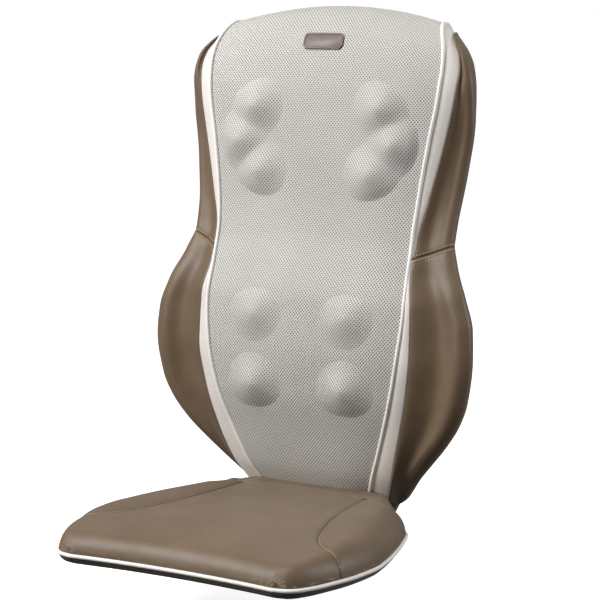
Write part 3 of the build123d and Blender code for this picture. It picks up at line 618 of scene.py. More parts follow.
# ---- the back's cover ---------------------------------------------------------------------
@dataclass
class BackForm:
    """The back's outer form, as three lines that run up its front and over its top.

    A station is the centre's (v, w), the piping line's (x, v, w) and the band's outer line's
    (x, v, w).
    """

    stations: tuple = (
        (3, 38, 64, 3, 31, 92, 3, 29), (30, 49, 76.5, 30, 40, 104.5, 30, 38),
        (75, 76, 98, 75, 68, 126, 75, 65), (124, 92, 117, 124, 84, 142, 124, 83),
        (183, 108, 136, 183, 100, 157, 183, 96), (243, 114, 147.5, 243, 106, 164.5, 243, 104),
        (303, 111, 153, 303, 103, 163, 303, 104), (354, 100, 151.8, 354, 92, 156, 354, 92),
        (395, 91, 151.5, 395, 83, 157.5, 395, 79), (450, 86, 156, 450, 78, 169, 450, 73),
        (520, 85, 166, 520, 77, 185, 520, 69), (585, 84, 177, 585, 76, 198, 585, 68),
        (625, 80, 179.5, 620, 72, 201, 616, 64), (656, 73, 177, 645, 66, 197, 637, 58),
        (681, 61, 171.5, 662, 59, 189.5, 650, 52), (697, 46, 166.5, 673, 51, 183, 659, 44),
        (703.5, 30, 162, 680, 40, 177, 665, 32), (704, 18, 159, 681, 25, 173, 666, 20),
        (699, 6, 156, 677, 9, 170, 664, 6), (690, 0.5, 155, 671, 0.5, 169, 660, 0.5),
    )
    waist: float = 371.0
    shoulder: float = 703.5  # as high as the outer line is read by height
    edge_power: float = 4.0  # how late the mesh falls to its edge

    def __post_init__(self) -> None:
        """Lays the lines along the centre's arc length."""
        rows = np.array(self.stations, float)
        run = run_along(rows[:, :2])
        self.length = float(run[-1])
        self.lines = [Smooth(list(zip(run, rows[:, k]))) for k in range(rows.shape[1])]
        top = int(np.argmax(rows[:, 0]))
        self.run_of_height = Smooth(list(zip(rows[:top + 1, 0], run[:top + 1])))

    def centre(self, run: float) -> tuple[float, float]:
        """(w, v) of the centre line."""
        return self.lines[1](run), self.lines[0](run)

    def piping(self, run: float) -> tuple[float, float, float]:
        """(x, w, v) of the right-hand piping line."""
        return self.lines[2](run), self.lines[4](run), self.lines[3](run)

    def outer(self, run: float) -> tuple[float, float, float]:
        """(x, w, v) of the band's outer line on the right."""
        return self.lines[5](run), self.lines[7](run), self.lines[6](run)

    def mesh(self, across: float, run: float) -> tuple[float, float, float]:
        """(x, w, v) on the mesh, across from -1 to 1."""
        w, v = self.centre(run)
        x_edge, w_edge, v_edge = self.piping(run)
        share = abs(across)
        depth = w + (w_edge - w) * share ** self.edge_power
        return across * x_edge, depth, v + (v_edge - v) * share * share

    def depth(self, x: float, v: float) -> float:
        """Depth of the mesh on the flat part of the front."""
        run = self.run_of_height(v)
        return self.mesh(x / self.piping(run)[0], run)[1]


FORM = BackForm()


@dataclass
class MeshCover:
    """The mesh panel, stretched from its foot up the front and over the top to the rear hem."""

    columns: int = 96
    rows: int = 200
    cloth: float = 2.0

    def build(self) -> bpy.types.Object:
        def place(u: float, t: float) -> Vector:
            """A point of the panel."""
            return BENCH.point(*FORM.mesh(2 * u - 1, t * FORM.length))

        def size(u: float, t: float) -> Vector:
            """Its place on the flat cloth."""
            run = t * FORM.length
            return Vector(((2 * u - 1) * FORM.piping(run)[0], run, 0)) * MM

        made = piece("mesh_cover", grid_mesh(self.columns, self.rows, place, size), MESH, "back",
                     ("mesh_panel", "back_foam_pad"), thick=self.cloth)
        return made


@dataclass
class HeadCover:
    """The mesh where one kneading head lifts it: a soft rise over each ball."""

    unit: str
    side: Side
    height: float
    tip: float
    angles: tuple[float, ...]
    axis_x: float = 71.0
    ball_circle: float = 49.0
    spread: float = 27.0  # how far a rise reaches
    peak: float = 1.7  # how round a rise is on top
    merge: int = 3  # how sharply neighbouring rises meet
    over: float = 1.6  # gap from the ball to the mesh
    reach: float = 56.0  # as far as the patch goes from a ball
    level: float = 0.35  # share of the reach before the patch sinks under the panel
    skirt: float = 2.2  # how far it sinks
    full: float = 70.0  # from the head's axis to where the rises start to fall off
    clear: float = 92.0  # and to where they end
    cells: int = 84
    cloth: float = 1.4

    def balls(self) -> list[tuple[float, float]]:
        """(x, v) of the balls at rest."""
        places = []
        for angle in self.angles:
            x = -self.axis_x + self.ball_circle * math.cos(math.radians(angle))
            v = self.height + self.ball_circle * math.sin(math.radians(angle))
            places.append((x if self.side is Side.LEFT else -x, v))
        return places

    def lift(self, x: float, v: float) -> float:
        """How far the mesh is lifted at a bench point."""
        most = 0.0
        for bx, bv in self.balls():
            away = math.hypot(x - bx, v - bv)
            rise = self.tip + self.over - FORM.depth(bx, bv)
            most += (rise * math.exp(-(away / self.spread) ** self.peak)) ** self.merge
        return most ** (1 / self.merge) * self.window(x, v)

    def window(self, x: float, v: float) -> float:
        """How much of the lift is left, falling to none at the edge of the head's own room."""
        out = math.hypot(x - self.axis_x * self.side.value, v - self.height)
        return ease((self.clear - out) / (self.clear - self.full))

    def build(self) -> bpy.types.Object:
        """Makes the lifted patch, which rides on the head."""
        axis = self.axis_x * self.side.value
        half = self.clear

        def place(u: float, t: float) -> Vector:
            """A flat point about the head's axis, before the lift."""
            return Vector((axis + (2 * u - 1) * half, self.height + (2 * t - 1) * half, 0))

        bm = grid_mesh(self.cells, self.cells, place, lambda u, t: Vector((0, 0, 0)))
        balls = self.balls()
        far = []
        for face in bm.faces:
            mid = face.calc_center_median()
            nearest = min(math.hypot(mid.x - bx, mid.y - bv) for bx, bv in balls)
            out = math.hypot(mid.x - axis, mid.y - self.height)
            if nearest > self.reach or out > self.clear:
                far.append(face)
        bmesh.ops.delete(bm, geom=far, context="FACES")
        layer = bm.loops.layers.uv["cloth"]
        for face in bm.faces:
            for loop in face.loops:
                x, v = loop.vert.co.x, loop.vert.co.y
                loop[layer].uv = (x * MM, FORM.run_of_height(v) * MM)
        for vert in bm.verts:
            x, v = vert.co.x, vert.co.y
            away = min(math.hypot(x - bx, v - bv) for bx, bv in balls)
            share = max(away / self.reach - self.level, 0.0) / (1 - self.level)
            sink = self.skirt * max(share, 1 - self.window(x, v))
            vert.co = BENCH.point(x, FORM.depth(x, v) + self.lift(x, v) - sink, v)
        name = f"{self.unit}_{self.side.word}"
        made = piece(f"{name}_mesh_rise", bm, MESH, f"{name}_head", thick=self.cloth)
        return made


@dataclass
class Bands:
    """The pale bands, two a side that pinch out at the waist, and the piping beside them."""

    puff: float = 1.6
    cloth: float = 2.0
    columns: int = 8
    rows: int = 110
    piping_radius: float = 2.6
    piping_steps: int = 260
    proud: tuple[float, float] = (1.0, 0.4)  # how far the piping stands out, in front and on top
    low_edge: float = 30.0  # the depth where one changes to the other

    def build_band(self, side: Side, upper: bool) -> bpy.types.Object:
        """Makes one length of band."""
        waist = FORM.run_of_height(FORM.waist)
        start, end = (waist + 1, FORM.length) if upper else (0.0, waist - 1)

        def place(u: float, t: float) -> Vector:
            """A point across the band."""
            run = start + (end - start) * t
            a, b = np.array(FORM.piping(run)), np.array(FORM.outer(run))
            x, w, v = a + (b - a) * u
            return BENCH.point(x, w + self.puff * math.sin(math.pi * u), v)

        def size(u: float, t: float) -> Vector:
            """Its place on the flat cloth."""
            run = start + (end - start) * t
            return Vector((u * (FORM.outer(run)[0] - FORM.piping(run)[0]), run, 0)) * MM

        bm = grid_mesh(self.columns, self.rows, place, size)
        if side is Side.LEFT:
            mirrored(bm)
        name = f"{'upper' if upper else 'lower'}_{side.word}"
        made = piece(f"{name}_band", bm, BAND, "back", (f"{name}_gusset",), thick=self.cloth)
        return made

    def build_piping(self, side: Side) -> bpy.types.Object:
        """Makes the piping between the mesh and the band."""

        def path(t: float) -> Vector:
            """The piping's centre line."""
            x, w, v = FORM.piping(t * FORM.length)
            return BENCH.point(x, w + self.proud[w <= self.low_edge], v)

        bm = tube_mesh(path, self.piping_radius * MM, self.piping_steps)
        if side is Side.LEFT:
            mirrored(bm)
        return piece(f"{side.word}_mesh_piping", bm, PIPING, "back", (f"{side.word}_piping",))

    def build(self) -> None:
        """Makes both sides."""
        for side in Side:
            for upper in (False, True):
                self.build_band(side, upper)
            self.build_piping(side)


@dataclass
class Wings:
    """The padded wings: a full outer roll, a valley beside the band, and a sewn waist seam."""

    edge: Smooth = field(default_factory=lambda: Smooth([
        (3, 99), (40, 126), (68, 150), (96, 177), (124, 203), (155, 225), (185, 237.5),
        (243, 246), (280, 243.5), (310, 231.5), (345, 211.5), (378, 201.5), (415, 202.5),
        (490, 210.5), (560, 218), (600, 217), (616, 214.5), (628, 210.5), (639, 205.5),
        (648, 198.5), (658, 188.5), (666, 180), (674, 172)]))
    rim: Smooth = field(default_factory=lambda: Smooth([
        (3, 4), (30, 11), (80, 43), (130, 66), (190, 80), (250, 86), (310, 82), (345, 71),
        (378, 62), (415, 56), (450, 51.5), (520, 47), (570, 51), (604, 56), (632, 57), (650, 52),
        (660, 47), (674, 36)]))
    roll: Smooth = field(default_factory=lambda: Smooth([
        (3, 7), (30, 12), (80, 20), (130, 25), (190, 27), (250, 26), (310, 24), (360, 22),
        (400, 20), (590, 18), (640, 12), (674, 5)]))
    fullness: Smooth = field(default_factory=lambda: Smooth([
        (3, 0.8), (150, 0.5), (310, 0.45), (371, 0.5), (450, 0.5), (674, 0.5)]))
    rear: Smooth = field(default_factory=lambda: Smooth([
        (-10, 2), (60, 8), (125, 24), (243, 40), (310, 36), (395, 19), (450, 12), (580, 14),
        (620, 24), (650, 34), (674, 38)]))
    dip: Smooth = field(default_factory=lambda: Smooth([
        (3, 1), (80, 6), (160, 10.5), (280, 11), (340, 8), (371, 4.5), (420, 4), (560, 3),
        (674, 0)]))
    valley_at: Smooth = field(default_factory=lambda: Smooth([
        (3, 0.5), (150, 0.6), (300, 0.58), (371, 0.5), (450, 0.45), (674, 0.4)]))
    rise: float = 0.4  # slope of the waist seam
    pinch: float = 1.3  # how far the waist seam pulls in
    top: float = 670.0
    foot: float = 32.0
    around: int = 72
    rows: int = 120
    ends: tuple[float, ...] = (0.6, 0.34, 0.18, 0.08, 0.03)  # how far the free end's rows draw in
    wrap_from: float = 545.0  # over the shoulder the wing wraps in behind, from this height
    wrap_over: float = 60.0
    stitch_from_seam: float = 3.6
    stitched: float = 4.6 / 9  # share of the way round that is stitched
    casing: Smooth = field(default_factory=lambda: Smooth([
        (516, 183), (580, 193), (626, 189), (646, 180), (662, 168), (674, 160)]))

    def __post_init__(self) -> None:
        """Reads the band's outer line by height."""
        points = [FORM.outer(r) for r in np.linspace(0, FORM.run_of_height(FORM.shoulder), 160)]
        apart = 1e-6  # keeps the heights from being equal
        self.inner_x = Smooth([(p[2] + i * apart, p[0]) for i, p in enumerate(points)])
        self.inner_w = Smooth([(p[2] + i * apart, p[1]) for i, p in enumerate(points)])

    def section(self, v: float) -> list[tuple[float, float]]:
        """The (x, w) points round the wing at a height."""
        x_in, w_in = self.inner_x(v), self.inner_w(v)
        x_out, w_rim, roll = self.edge(v), self.rim(v), self.roll(v)
        width = max(x_out - x_in, 4.0)
        x_out = x_in + width
        tug = self.pinch * math.exp(-(abs(v - FORM.waist) / 4.0) ** 1.4)
        crest_x = x_out - min(0.75 * roll, 0.5 * width)
        crest = w_rim + self.fullness(v) * roll - tug
        valley = w_in + (crest - w_in) * 0.35 - min(self.dip(v), 0.3 * width) - tug
        back = min(self.rear(v), w_in - 6)
        back_out = max(w_rim - roll, back + 2)
        side_x = min(0.3 * roll, 0.2 * width)
        wrap = ease((v - self.wrap_from) / self.wrap_over)
        heel_x = self.casing(v)
        rear_line = [
            ((x_out - side_x, w_rim - 0.72 * (w_rim - back_out)),
             ((x_out + heel_x) / 2 + 5, (w_rim + 6) / 2)),
            ((x_out - min(1.15 * roll, 0.6 * width), back_out - 1), (heel_x + 3, 6)),
            ((x_in + 2, back), (heel_x - 2, 3)),
            ((x_in - 0.6, (w_in + back) / 2), ((x_in + heel_x) / 2 - 3, w_in / 2)),
        ]
        behind = [tuple(a + (b - a) * wrap for a, b in zip(*pair)) for pair in rear_line]
        return [
            (x_in - 0.9, w_in - 0.4),
            (x_in + self.valley_at(v) * (crest_x - x_in), valley),
            (crest_x, crest),
            (crest_x + 0.64 * (x_out - crest_x), w_rim + 0.76 * (crest - w_rim)),
            (x_out - tug * 0.6, w_rim),
            *behind,
        ]

    def point(self, share: float, v: float, shrink: float = 0.0) -> Vector:
        """A right-hand point round the section at a height, drawn in by a share for the ends."""
        points = self.section(v)
        x, w = closed_line(points, share)
        if shrink:
            cx, cw = np.mean(points, axis=0)
            x, w = x + (cx - x) * shrink, w + (cw - w) * shrink
        slope = self.rise * math.exp(-((v - FORM.waist) / 60.0) ** 2)
        return BENCH.point(x, w, v + slope * (x - self.inner_x(v)))

    def build_wing(self, side: Side, upper: bool) -> bpy.types.Object:
        """Makes one wing as a closed pad."""
        gap = 0.05
        low, high = (FORM.waist + gap, self.top) if upper else (self.foot, FORM.waist - gap)

        def place(u: float, t: float) -> Vector:
            """A point round the pad, with rounded ends."""
            row = round(t * self.rows)
            from_free = (self.rows - row) if upper else row
            shrink = self.ends[from_free] if from_free < len(self.ends) else 0.0
            return self.point(u, low + (high - low) * t, shrink)

        bm = grid_mesh(self.around, self.rows, place)
        close_ends(bm)
        if side is Side.LEFT:
            mirrored(bm)
        name = f"{'upper' if upper else 'lower'}_{side.word}"
        made = piece(f"{name}_wing_pad", bm, TAUPE, "back", (f"{name}_wing",))
        return made

    def build_stitches(self, side: Side) -> bpy.types.Object:
        """Makes the two rows of stitches along the waist seam."""
        rows = []
        for v in (FORM.waist - self.stitch_from_seam, FORM.waist + self.stitch_from_seam):
            points = [self.point(share, v) for share in np.linspace(0.01, self.stitched, 60)]
            behind = self.point(7.5 / 9, v)
            lift = [(p - behind).normalized() for p in points]
            rows.append(stitch_mesh(points, lift, radius=0.6))
        whole = joined(rows)
        if side is Side.LEFT:
            mirrored(whole)
        return piece(f"{side.word}_waist_stitches", whole, THREAD, "back")

    def build(self) -> None:
        """Makes all four wings and their waist seams."""
        for side in Side:
            for upper in (False, True):
                self.build_wing(side, upper)
            self.build_stitches(side)


@dataclass
class Badge:
    """A plain rounded plate with a raised rim and an enamelled face."""

    corner: float = 7.5
    corner_steps: int = 8
    height: float = 23.5
    thick: float = 3.4
    sunk: float = 2.0  # how deep the plate stands in the mesh
    rim: float = 1.65
    face_depth: float = 1.2
    lean: float = 18.0  # degrees that it leans back from the bench

    def build(self) -> None:
        """Makes the plate where the CAD badge is."""
        low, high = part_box("badge")
        centre = (low + high) / 2
        tilt = math.radians(self.lean)
        normal = (BENCH.forward * math.cos(tilt) + BENCH.up * math.sin(tilt)).normalized()
        rise = normal.cross(ACROSS)
        corner = self.corner * MM
        half_x, half_y = (high.x - low.x) / 2 - corner, self.height * MM / 2 - corner
        bm = bmesh.new()
        verts = []
        for cx, cy, start in ((1, 1, 0), (-1, 1, 90), (-1, -1, 180), (1, -1, 270)):
            for k in range(self.corner_steps + 1):
                turn = math.radians(start + 90 * k / self.corner_steps)
                verts.append(bm.verts.new((cx * half_x + corner * math.cos(turn),
                                           cy * half_y + corner * math.sin(turn), 0)))
        face = bm.faces.new(verts)
        made = bmesh.ops.extrude_face_region(bm, geom=[face])["geom"]
        top = next(g for g in made if isinstance(g, bmesh.types.BMFace))
        for vert in top.verts:
            vert.co.z = self.thick * MM
        bmesh.ops.recalc_face_normals(bm, faces=bm.faces[:])
        bmesh.ops.bevel(bm, geom=list(top.edges), offset=1.1 * MM, segments=3, profile=0.5,
                        affect="EDGES", material=-1)
        top = max(bm.faces, key=lambda f: (round(f.calc_center_median().z, 6), f.calc_area()))
        for inset, depth in ((self.rim, 0.0), (0.7, -self.face_depth), (0.4, 0.25)):
            bmesh.ops.inset_region(bm, faces=[top], thickness=inset * MM, depth=depth * MM)
        turn = Matrix((ACROSS, rise, normal)).transposed().to_4x4()
        shift = Matrix.Translation(centre - normal * self.sunk * MM)
        bmesh.ops.transform(bm, matrix=shift @ turn, verts=bm.verts[:])
        top.material_index = 1
        thing = piece("badge_plate", bm, RIM, "back", ("badge",))
        thing.data.materials.append(ENAMEL.material())


@dataclass
class RearCover:
    """The back's rear: a flat cloth panel with a bound edge, side boxing, straps and the bottom."""

    half: Smooth = field(default_factory=lambda: Smooth([
        (3, 91), (75, 125), (183, 156), (262, 164), (371, 154), (445, 167), (516, 183),
        (580, 193), (626, 188), (646, 178), (662, 166)]))
    top_centre: float = 691.0
    top_side: float = 662.0
    side_share: float = 0.4  # share of the way round that is one side
    least_thick: float = 6.0  # of the wings, where the boxing meets them
    strap_half: float = 19.0
    strap_from: float = 20.0
    strap_to: float = 150.0
    strap_bow: float = 2.0
    sewn_from: float = 118.0
    sewn_to: float = 146.0
    sewn_half: float = 15.0

    def top_of(self, share: float) -> float:
        """Height of the rear hem at a share of the half-width."""
        return self.top_centre + (self.top_side - self.top_centre) * share * share

    def edge_point(self, turn: float) -> tuple[float, float]:
        """(x, v) round the panel's edge, up the left side, over the top and down the right."""
        from_foot = min(turn, 1 - turn)
        if from_foot < self.side_share:
            v = FOOT + (self.top_side - FOOT) * from_foot / self.side_share
            return math.copysign(self.half(v), turn - 0.5), v
        share = (turn - 0.5) / (0.5 - self.side_share)
        return share * self.half(self.top_side), self.top_of(share)

    def build_panel(self) -> None:
        """Makes the cloth panel and its binding."""

        def place(u: float, t: float) -> Vector:
            """A point of the panel, seen from behind."""
            share = 1 - 2 * u
            v = FOOT + (self.top_of(share) - FOOT) * t
            x = share * self.half(v)
            slack = 0.3 * math.sin(v / 46.0 + 1.3 * math.sin(x / 61.0)) * (1 - share ** 4)
            return BENCH.point(x, 0.8 - slack, v)

        def size(u: float, t: float) -> Vector:
            """Its place on the flat cloth."""
            run = 690 * t
            return Vector(((2 * u - 1) * self.half(run), run, 0)) * MM

        made = piece("rear_panel", grid_mesh(60, 120, place, size), REAR_CLOTH, "back",
                     ("rear_cover",), thick=1.2)

        def path(t: float) -> Vector:
            """The binding's centre line."""
            x, v = self.edge_point(t)
            return BENCH.point(x, 1.4, v)

        binding = tube_mesh(path, 1.9 * MM, 260, around=8)
        piece("rear_binding", binding, UMBER, "back")

    def build_boxing(self, side: Side, wings: Wings) -> None:
        """Makes the strip from the rear hem to the back of the wings."""

        def place(u: float, t: float) -> Vector:
            """A point of the strip."""
            v = FOOT + (self.top_side - FOOT) * t
            x_in = wings.inner_x(v)
            back = min(wings.rear(v), wings.inner_w(v) - self.least_thick)
            x = self.half(v) + 0.6 + (x_in - 1.5 - self.half(v)) * u
            return BENCH.point(x + 1.0 * math.sin(math.pi * u), 1.0 + (back + 4) * u, v)

        def size(u: float, t: float) -> Vector:
            """Its place on the flat cloth."""
            return Vector((u * 40, t * 700, 0)) * MM

        bm = grid_mesh(8, 100, place, size)
        bmesh.ops.reverse_faces(bm, faces=bm.faces[:])
        if side is Side.LEFT:
            mirrored(bm)
        made = piece(f"{side.word}_side_boxing", bm, TAUPE, "back", thick=1.4)

    def build_strap(self, level: str, height: float) -> None:
        """Makes both halves of one strap, each sewn down at its outer end."""
        length = self.strap_to - self.strap_from
        width = 2 * self.strap_half
        halves, sewn = [], []
        corners = [(self.sewn_from, -1), (self.sewn_to, -1), (self.sewn_to, 1), (self.sewn_from, 1),
                   (self.sewn_from, -1), (self.sewn_to, 1), (self.sewn_to, -1), (self.sewn_from, 1)]
        for sign in (-1, 1):
            def place(u: float, t: float) -> Vector:
                """A point of the webbing."""
                bow = -self.strap_bow * math.sin(math.pi * u) ** 2
                edge = 0.25 * (2 * abs(t - 0.5)) ** 6
                x = sign * (self.strap_from + length * u)
                return BENCH.point(x, -1.6 + bow + edge, height + (t - 0.5) * width)

            def size(u: float, t: float) -> Vector:
                """Its place on the flat webbing."""
                return Vector((t * width, u * length, 0)) * MM

            half = grid_mesh(40, 16, place, size)
            if sign > 0:
                bmesh.ops.reverse_faces(half, faces=half.faces[:])
            halves.append(half)
            line = []
            for (x_a, up_a), (x_b, up_b) in zip(corners, corners[1:]):
                for k in range(8):
                    x, up = x_a + (x_b - x_a) * k / 8, up_a + (up_b - up_a) * k / 8
                    bow = self.strap_bow * math.sin(math.pi * (x - self.strap_from) / length) ** 2
                    line.append(BENCH.point(sign * x, -1.7 - bow, height + up * self.sewn_half))
            sewn.append(stitch_mesh(line, [-BENCH.forward] * len(line), 3.6, 2.6, 0.4))
        made = piece(f"{level}_webbing", joined(halves), WEBBING, "back", (f"{level}_chair_strap",),
                     thick=1.4)
        piece(f"{level}_strap_stitches", joined(sewn), THREAD, "back")

    def build_bottom(self) -> None:
        """Makes the sewn bottom that the back stands on."""
        low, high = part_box("bottom_cover")
        bm = bmesh.new()
        bmesh.ops.create_cube(bm, size=1.0)
        centre, span = (low + high) / 2, high - low
        bmesh.ops.scale(bm, vec=span, verts=bm.verts[:])
        bmesh.ops.bevel(bm, geom=bm.edges[:], offset=min(span) * 0.42, segments=4, profile=0.5,
                        affect="EDGES", material=-1, clamp_overlap=True)
        bmesh.ops.translate(bm, vec=centre, verts=bm.verts[:])
        made = piece("bottom_pad", bm, UMBER, "back", ("bottom_cover",))

    def build(self, wings: Wings) -> None:
        """Makes the whole rear."""
        self.build_panel()
        for side in Side:
            self.build_boxing(side, wings)
        self.build_strap("lower", 150.0)
        self.build_strap("upper", 575.0)
        self.build_bottom()


# ---- the seat -----------------------------------------------------------------------------
@dataclass
class Seat:
    """The seat flap: a centre pad and two bolsters over a piped base, and a web to the back."""

    edge: Smooth = field(default_factory=lambda: Smooth([
        (-34, 146), (-50, 163), (-90, 180), (-140, 196), (-185, 207), (-220, 212), (-262, 209),
        (-305, 199), (-343, 185), (-362, 168), (-366, 150)]))
    seam: Smooth = field(default_factory=lambda: Smooth([
        (-20, 98), (-100, 104), (-150, 112), (-205, 127), (-250, 147), (-275, 170), (-290, 201.5)]))
    top: Smooth = field(default_factory=lambda: Smooth([
        (-366, 36), (-340, 42), (-300, 47), (-230, 51), (-120, 53), (-34, 53)]))
    shoulder: Smooth = field(default_factory=lambda: Smooth([
        (-366, 16), (-330, 20), (-290, 26), (-240, 37), (-180, 47), (-90, 50), (-34, 38)]))
    rows: Smooth = field(default_factory=lambda: Smooth([
        (0, -34), (0.1, -52), (0.4, -180), (0.55, -245), (0.72, -290), (0.86, -340),
        (0.95, -360), (1, -366)]))
    bolster_rows: Smooth = field(default_factory=lambda: Smooth([
        (0, -34), (0.12, -52), (0.5, -180), (0.72, -245), (0.9, -280), (1, -290)]))
    back_y: float = -34.0
    front: float = -366.0
    front_half: float = 150.0  # half-width of the front edge between its corners
    seam_end: float = -290.0
    rim: float = 15.0
    dip: float = 9.0
    groove: float = 2.4
    lip: float = 2.0  # how far the pads go down behind the piping

    def __post_init__(self) -> None:
        """Finds the seat's place from its hinge, and its outline for distances."""
        self.shift = joint_named("seat_fold")["pos_m"][1] / MM - self.back_y
        side = [(self.edge(y), y) for y in np.linspace(self.back_y, self.front, 500)]
        front = [(x, self.front_y(x)) for x in np.linspace(self.front_half, 0, 150)]
        self.outline = np.array(side + front)
        seam = [(self.seam(y), y) for y in np.linspace(self.back_y, self.seam_end, 300)]
        self.seam_line = np.array(seam)

    def front_y(self, x: float) -> float:
        """The front edge, a little further back at its centre."""
        share = min(abs(x), self.front_half) / self.front_half
        return self.front + self.dip * (1 - share ** 2)

    def follow_front(self, x: float, y: float, t: float) -> float:
        """A row's y, drawn back with the front edge as the share t nears the front."""
        late = 0.6
        return y + (self.front_y(x) - self.front) * max(t - late, 0) ** 2 / (1 - late) ** 2

    def inside(self, x: float, y: float) -> float:
        """Distance in from the seat's side and front edge."""
        return float(np.hypot(self.outline[:, 0] - abs(x), self.outline[:, 1] - y).min())

    def height(self, x: float, y: float) -> float:
        """The top face's height."""
        shoulder = self.shoulder(y)
        share = min(self.inside(x, y) / shoulder, 1.0)
        full = math.sqrt(1 - (1 - share) ** 2)
        off = float(np.hypot(self.seam_line[:, 0] - abs(x), self.seam_line[:, 1] - y).min())
        beyond = abs(x) > self.seam(y) and y > self.seam_end
        most, over, drop = (2.2, 16.0, 0.0) if beyond else (1.6, 30.0, 0.6)
        swell = most * (1 - math.exp(-(off / over) ** 2)) - drop
        groove = self.groove * math.exp(-(off / 3.2) ** 2)
        return self.rim + (self.top(y) - self.rim + swell - groove) * full

    def at(self, x: float, y: float, z: float) -> Vector:
        """A seat point in the row frame."""
        return Vector((x, y + self.shift, z)) * MM

    def build_centre(self) -> None:
        """Makes the centre pad, which spreads to the full width in front."""

        def place(u: float, t: float) -> Vector:
            """A point of the pad's top."""
            y = self.rows(t)
            half = min(self.seam(y), self.edge(y)) if y > self.seam_end else self.edge(y)
            across = 2 * u - 1
            blend = min(max((-y - 180) / 90.0, 0.0), 1.0)
            x = (across * (1 - blend) + math.sin(math.pi / 2 * across) * blend) * half
            y = self.follow_front(x, y, t)
            return self.at(x, y, self.height(x, y))

        bm = grid_mesh(90, 120, place)
        bmesh.ops.reverse_faces(bm, faces=bm.faces[:])
        close_under(bm, (self.rim - self.lip) * MM)
        made = piece("seat_centre_pad", bm, TAUPE, "seat", ("seat_centre_cover", "seat_foam"))

    def build_bolster(self, side: Side) -> None:
        """Makes one side bolster."""

        def place(u: float, t: float) -> Vector:
            """A point of the bolster's top."""
            y = self.bolster_rows(t)
            near, far = self.seam(y), self.edge(y)
            x = near + (far - near) * math.sin(math.pi / 2 * u)
            return self.at(x, y, self.height(x, y))

        bm = grid_mesh(36, 110, place)
        bmesh.ops.remove_doubles(bm, verts=bm.verts[:], dist=MERGE * MM)
        bmesh.ops.reverse_faces(bm, faces=bm.faces[:])
        close_under(bm, (self.rim - self.lip) * MM)
        if side is Side.LEFT:
            mirrored(bm)
        name = f"seat_{side.word}_bolster"
        made = piece(f"{name}_pad", bm, TAUPE, "seat", (name,))

    def build_base(self) -> None:
        """Makes the dark base, rounded in under its edge."""

        def place(u: float, t: float) -> Vector:
            """A point of the base's underside."""
            y = self.rows(t)
            x = math.sin(math.pi / 2 * (2 * u - 1)) * (self.edge(y) - 0.5)
            y = self.follow_front(x, y, t)
            share = min(self.inside(x, y) / 17.0, 1.0)
            full = math.sqrt(max(1 - (1 - share) ** 2, 0.0))
            return self.at(x, y, 11.5 - 11.3 * full)

        bm = grid_mesh(90, 90, place)
        close_under(bm, (self.rim - 2.5) * MM)
        made = piece("seat_base_pad", bm, UMBER, "seat", ("seat_base_cover",))

    def build_piping(self) -> None:
        """Makes the piping round the seat's sides and front."""
        points = [(self.edge(y), y) for y in np.linspace(self.back_y - 2, self.front, 150)]
        points += [(x, self.front_y(x)) for x in np.linspace(self.front_half - 1, 1, 60)]
        points += [(-x, y) for x, y in reversed(points)]
        line = np.array(points)
        run = run_along(line)
        middle = line.mean(axis=0)

        def path(t: float) -> Vector:
            """The piping's centre line, just outside the edge."""
            at = t * run[-1]
            x, y = (float(np.interp(at, run, line[:, k])) for k in (0, 1))
            out = np.array([x, y]) - middle
            out /= np.linalg.norm(out)
            return self.at(x + out[0] * 0.6, y + out[1] * 0.6, self.rim - 1.2)

        bm = tube_mesh(path, 2.7 * MM, 420)
        piece("seat_edge_piping", bm, PIPING, "seat", ("seat_piping",))

    def build_stitches(self, side: Side) -> None:
        """Makes the row of stitches beside a bolster seam."""
        points, lift = [], []
        for y in np.linspace(self.back_y - 6, self.seam_end + 1, 140):
            x = self.seam(y) + 1.8
            if x > self.edge(y) - 1:
                break
            here = self.at(x, y, self.height(x, y))
            dx = self.at(x + 1, y, self.height(x + 1, y)) - here
            dy = self.at(x, y + 1, self.height(x, y + 1)) - here
            points.append(here)
            lift.append(dx.cross(dy).normalized())
        bm = stitch_mesh(points, lift, 3.8, 3.0, 0.4)
        if side is Side.LEFT:
            mirrored(bm)
        piece(f"seat_{side.word}_stitches", bm, THREAD, "seat")

    def build_web(self) -> None:
        """Makes the leatherette web across the hinge."""

        def place(u: float, t: float) -> Vector:
            """A point of the web, from the seat to the back."""
            y = -44 + 40 * t
            half = 143 - 32 * t
            x = (2 * u - 1) * half
            sag = -1.0 * math.exp(-((t - 0.35) / 0.16) ** 2)
            fall = -10 * abs(2 * u - 1) ** 10
            return self.at(x, y, 53.6 + sag + fall + 1.5 * t)

        def size(u: float, t: float) -> Vector:
            """Its place on the flat cloth."""
            return Vector((u * 280, t * 45, 0)) * MM

        bm = grid_mesh(80, 24, place, size)
        made = piece("seat_web", bm, TAUPE, None, thick=2.0)
        axis = Vector(joint_named("seat_fold")["pos_m"])
        start, end = axis + Vector((0, -2 * MM, 0)), axis + Vector((0, 14 * MM, 0))
        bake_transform(made)
        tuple(start)
        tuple(end)
        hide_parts("seat_hinge_flap")

    def build(self) -> None:
        """Makes the whole seat."""
        self.build_centre()
        for side in Side:
            self.build_bolster(side)
            self.build_stitches(side)
        self.build_base()
        self.build_piping()
        self.build_web()


# ---- the CAD's own parts and the studio ---------------------------------------------------
def dress_cad_parts() -> None:
    """Gives every CAD node the finish of its material slot."""
    for entry in frame["record"]["subparts"]:
        data = frame["nodes"][entry["node"]].data
        data.materials.clear()
        data.materials.append(SLOT_FINISH[entry["material_slot"]].material())


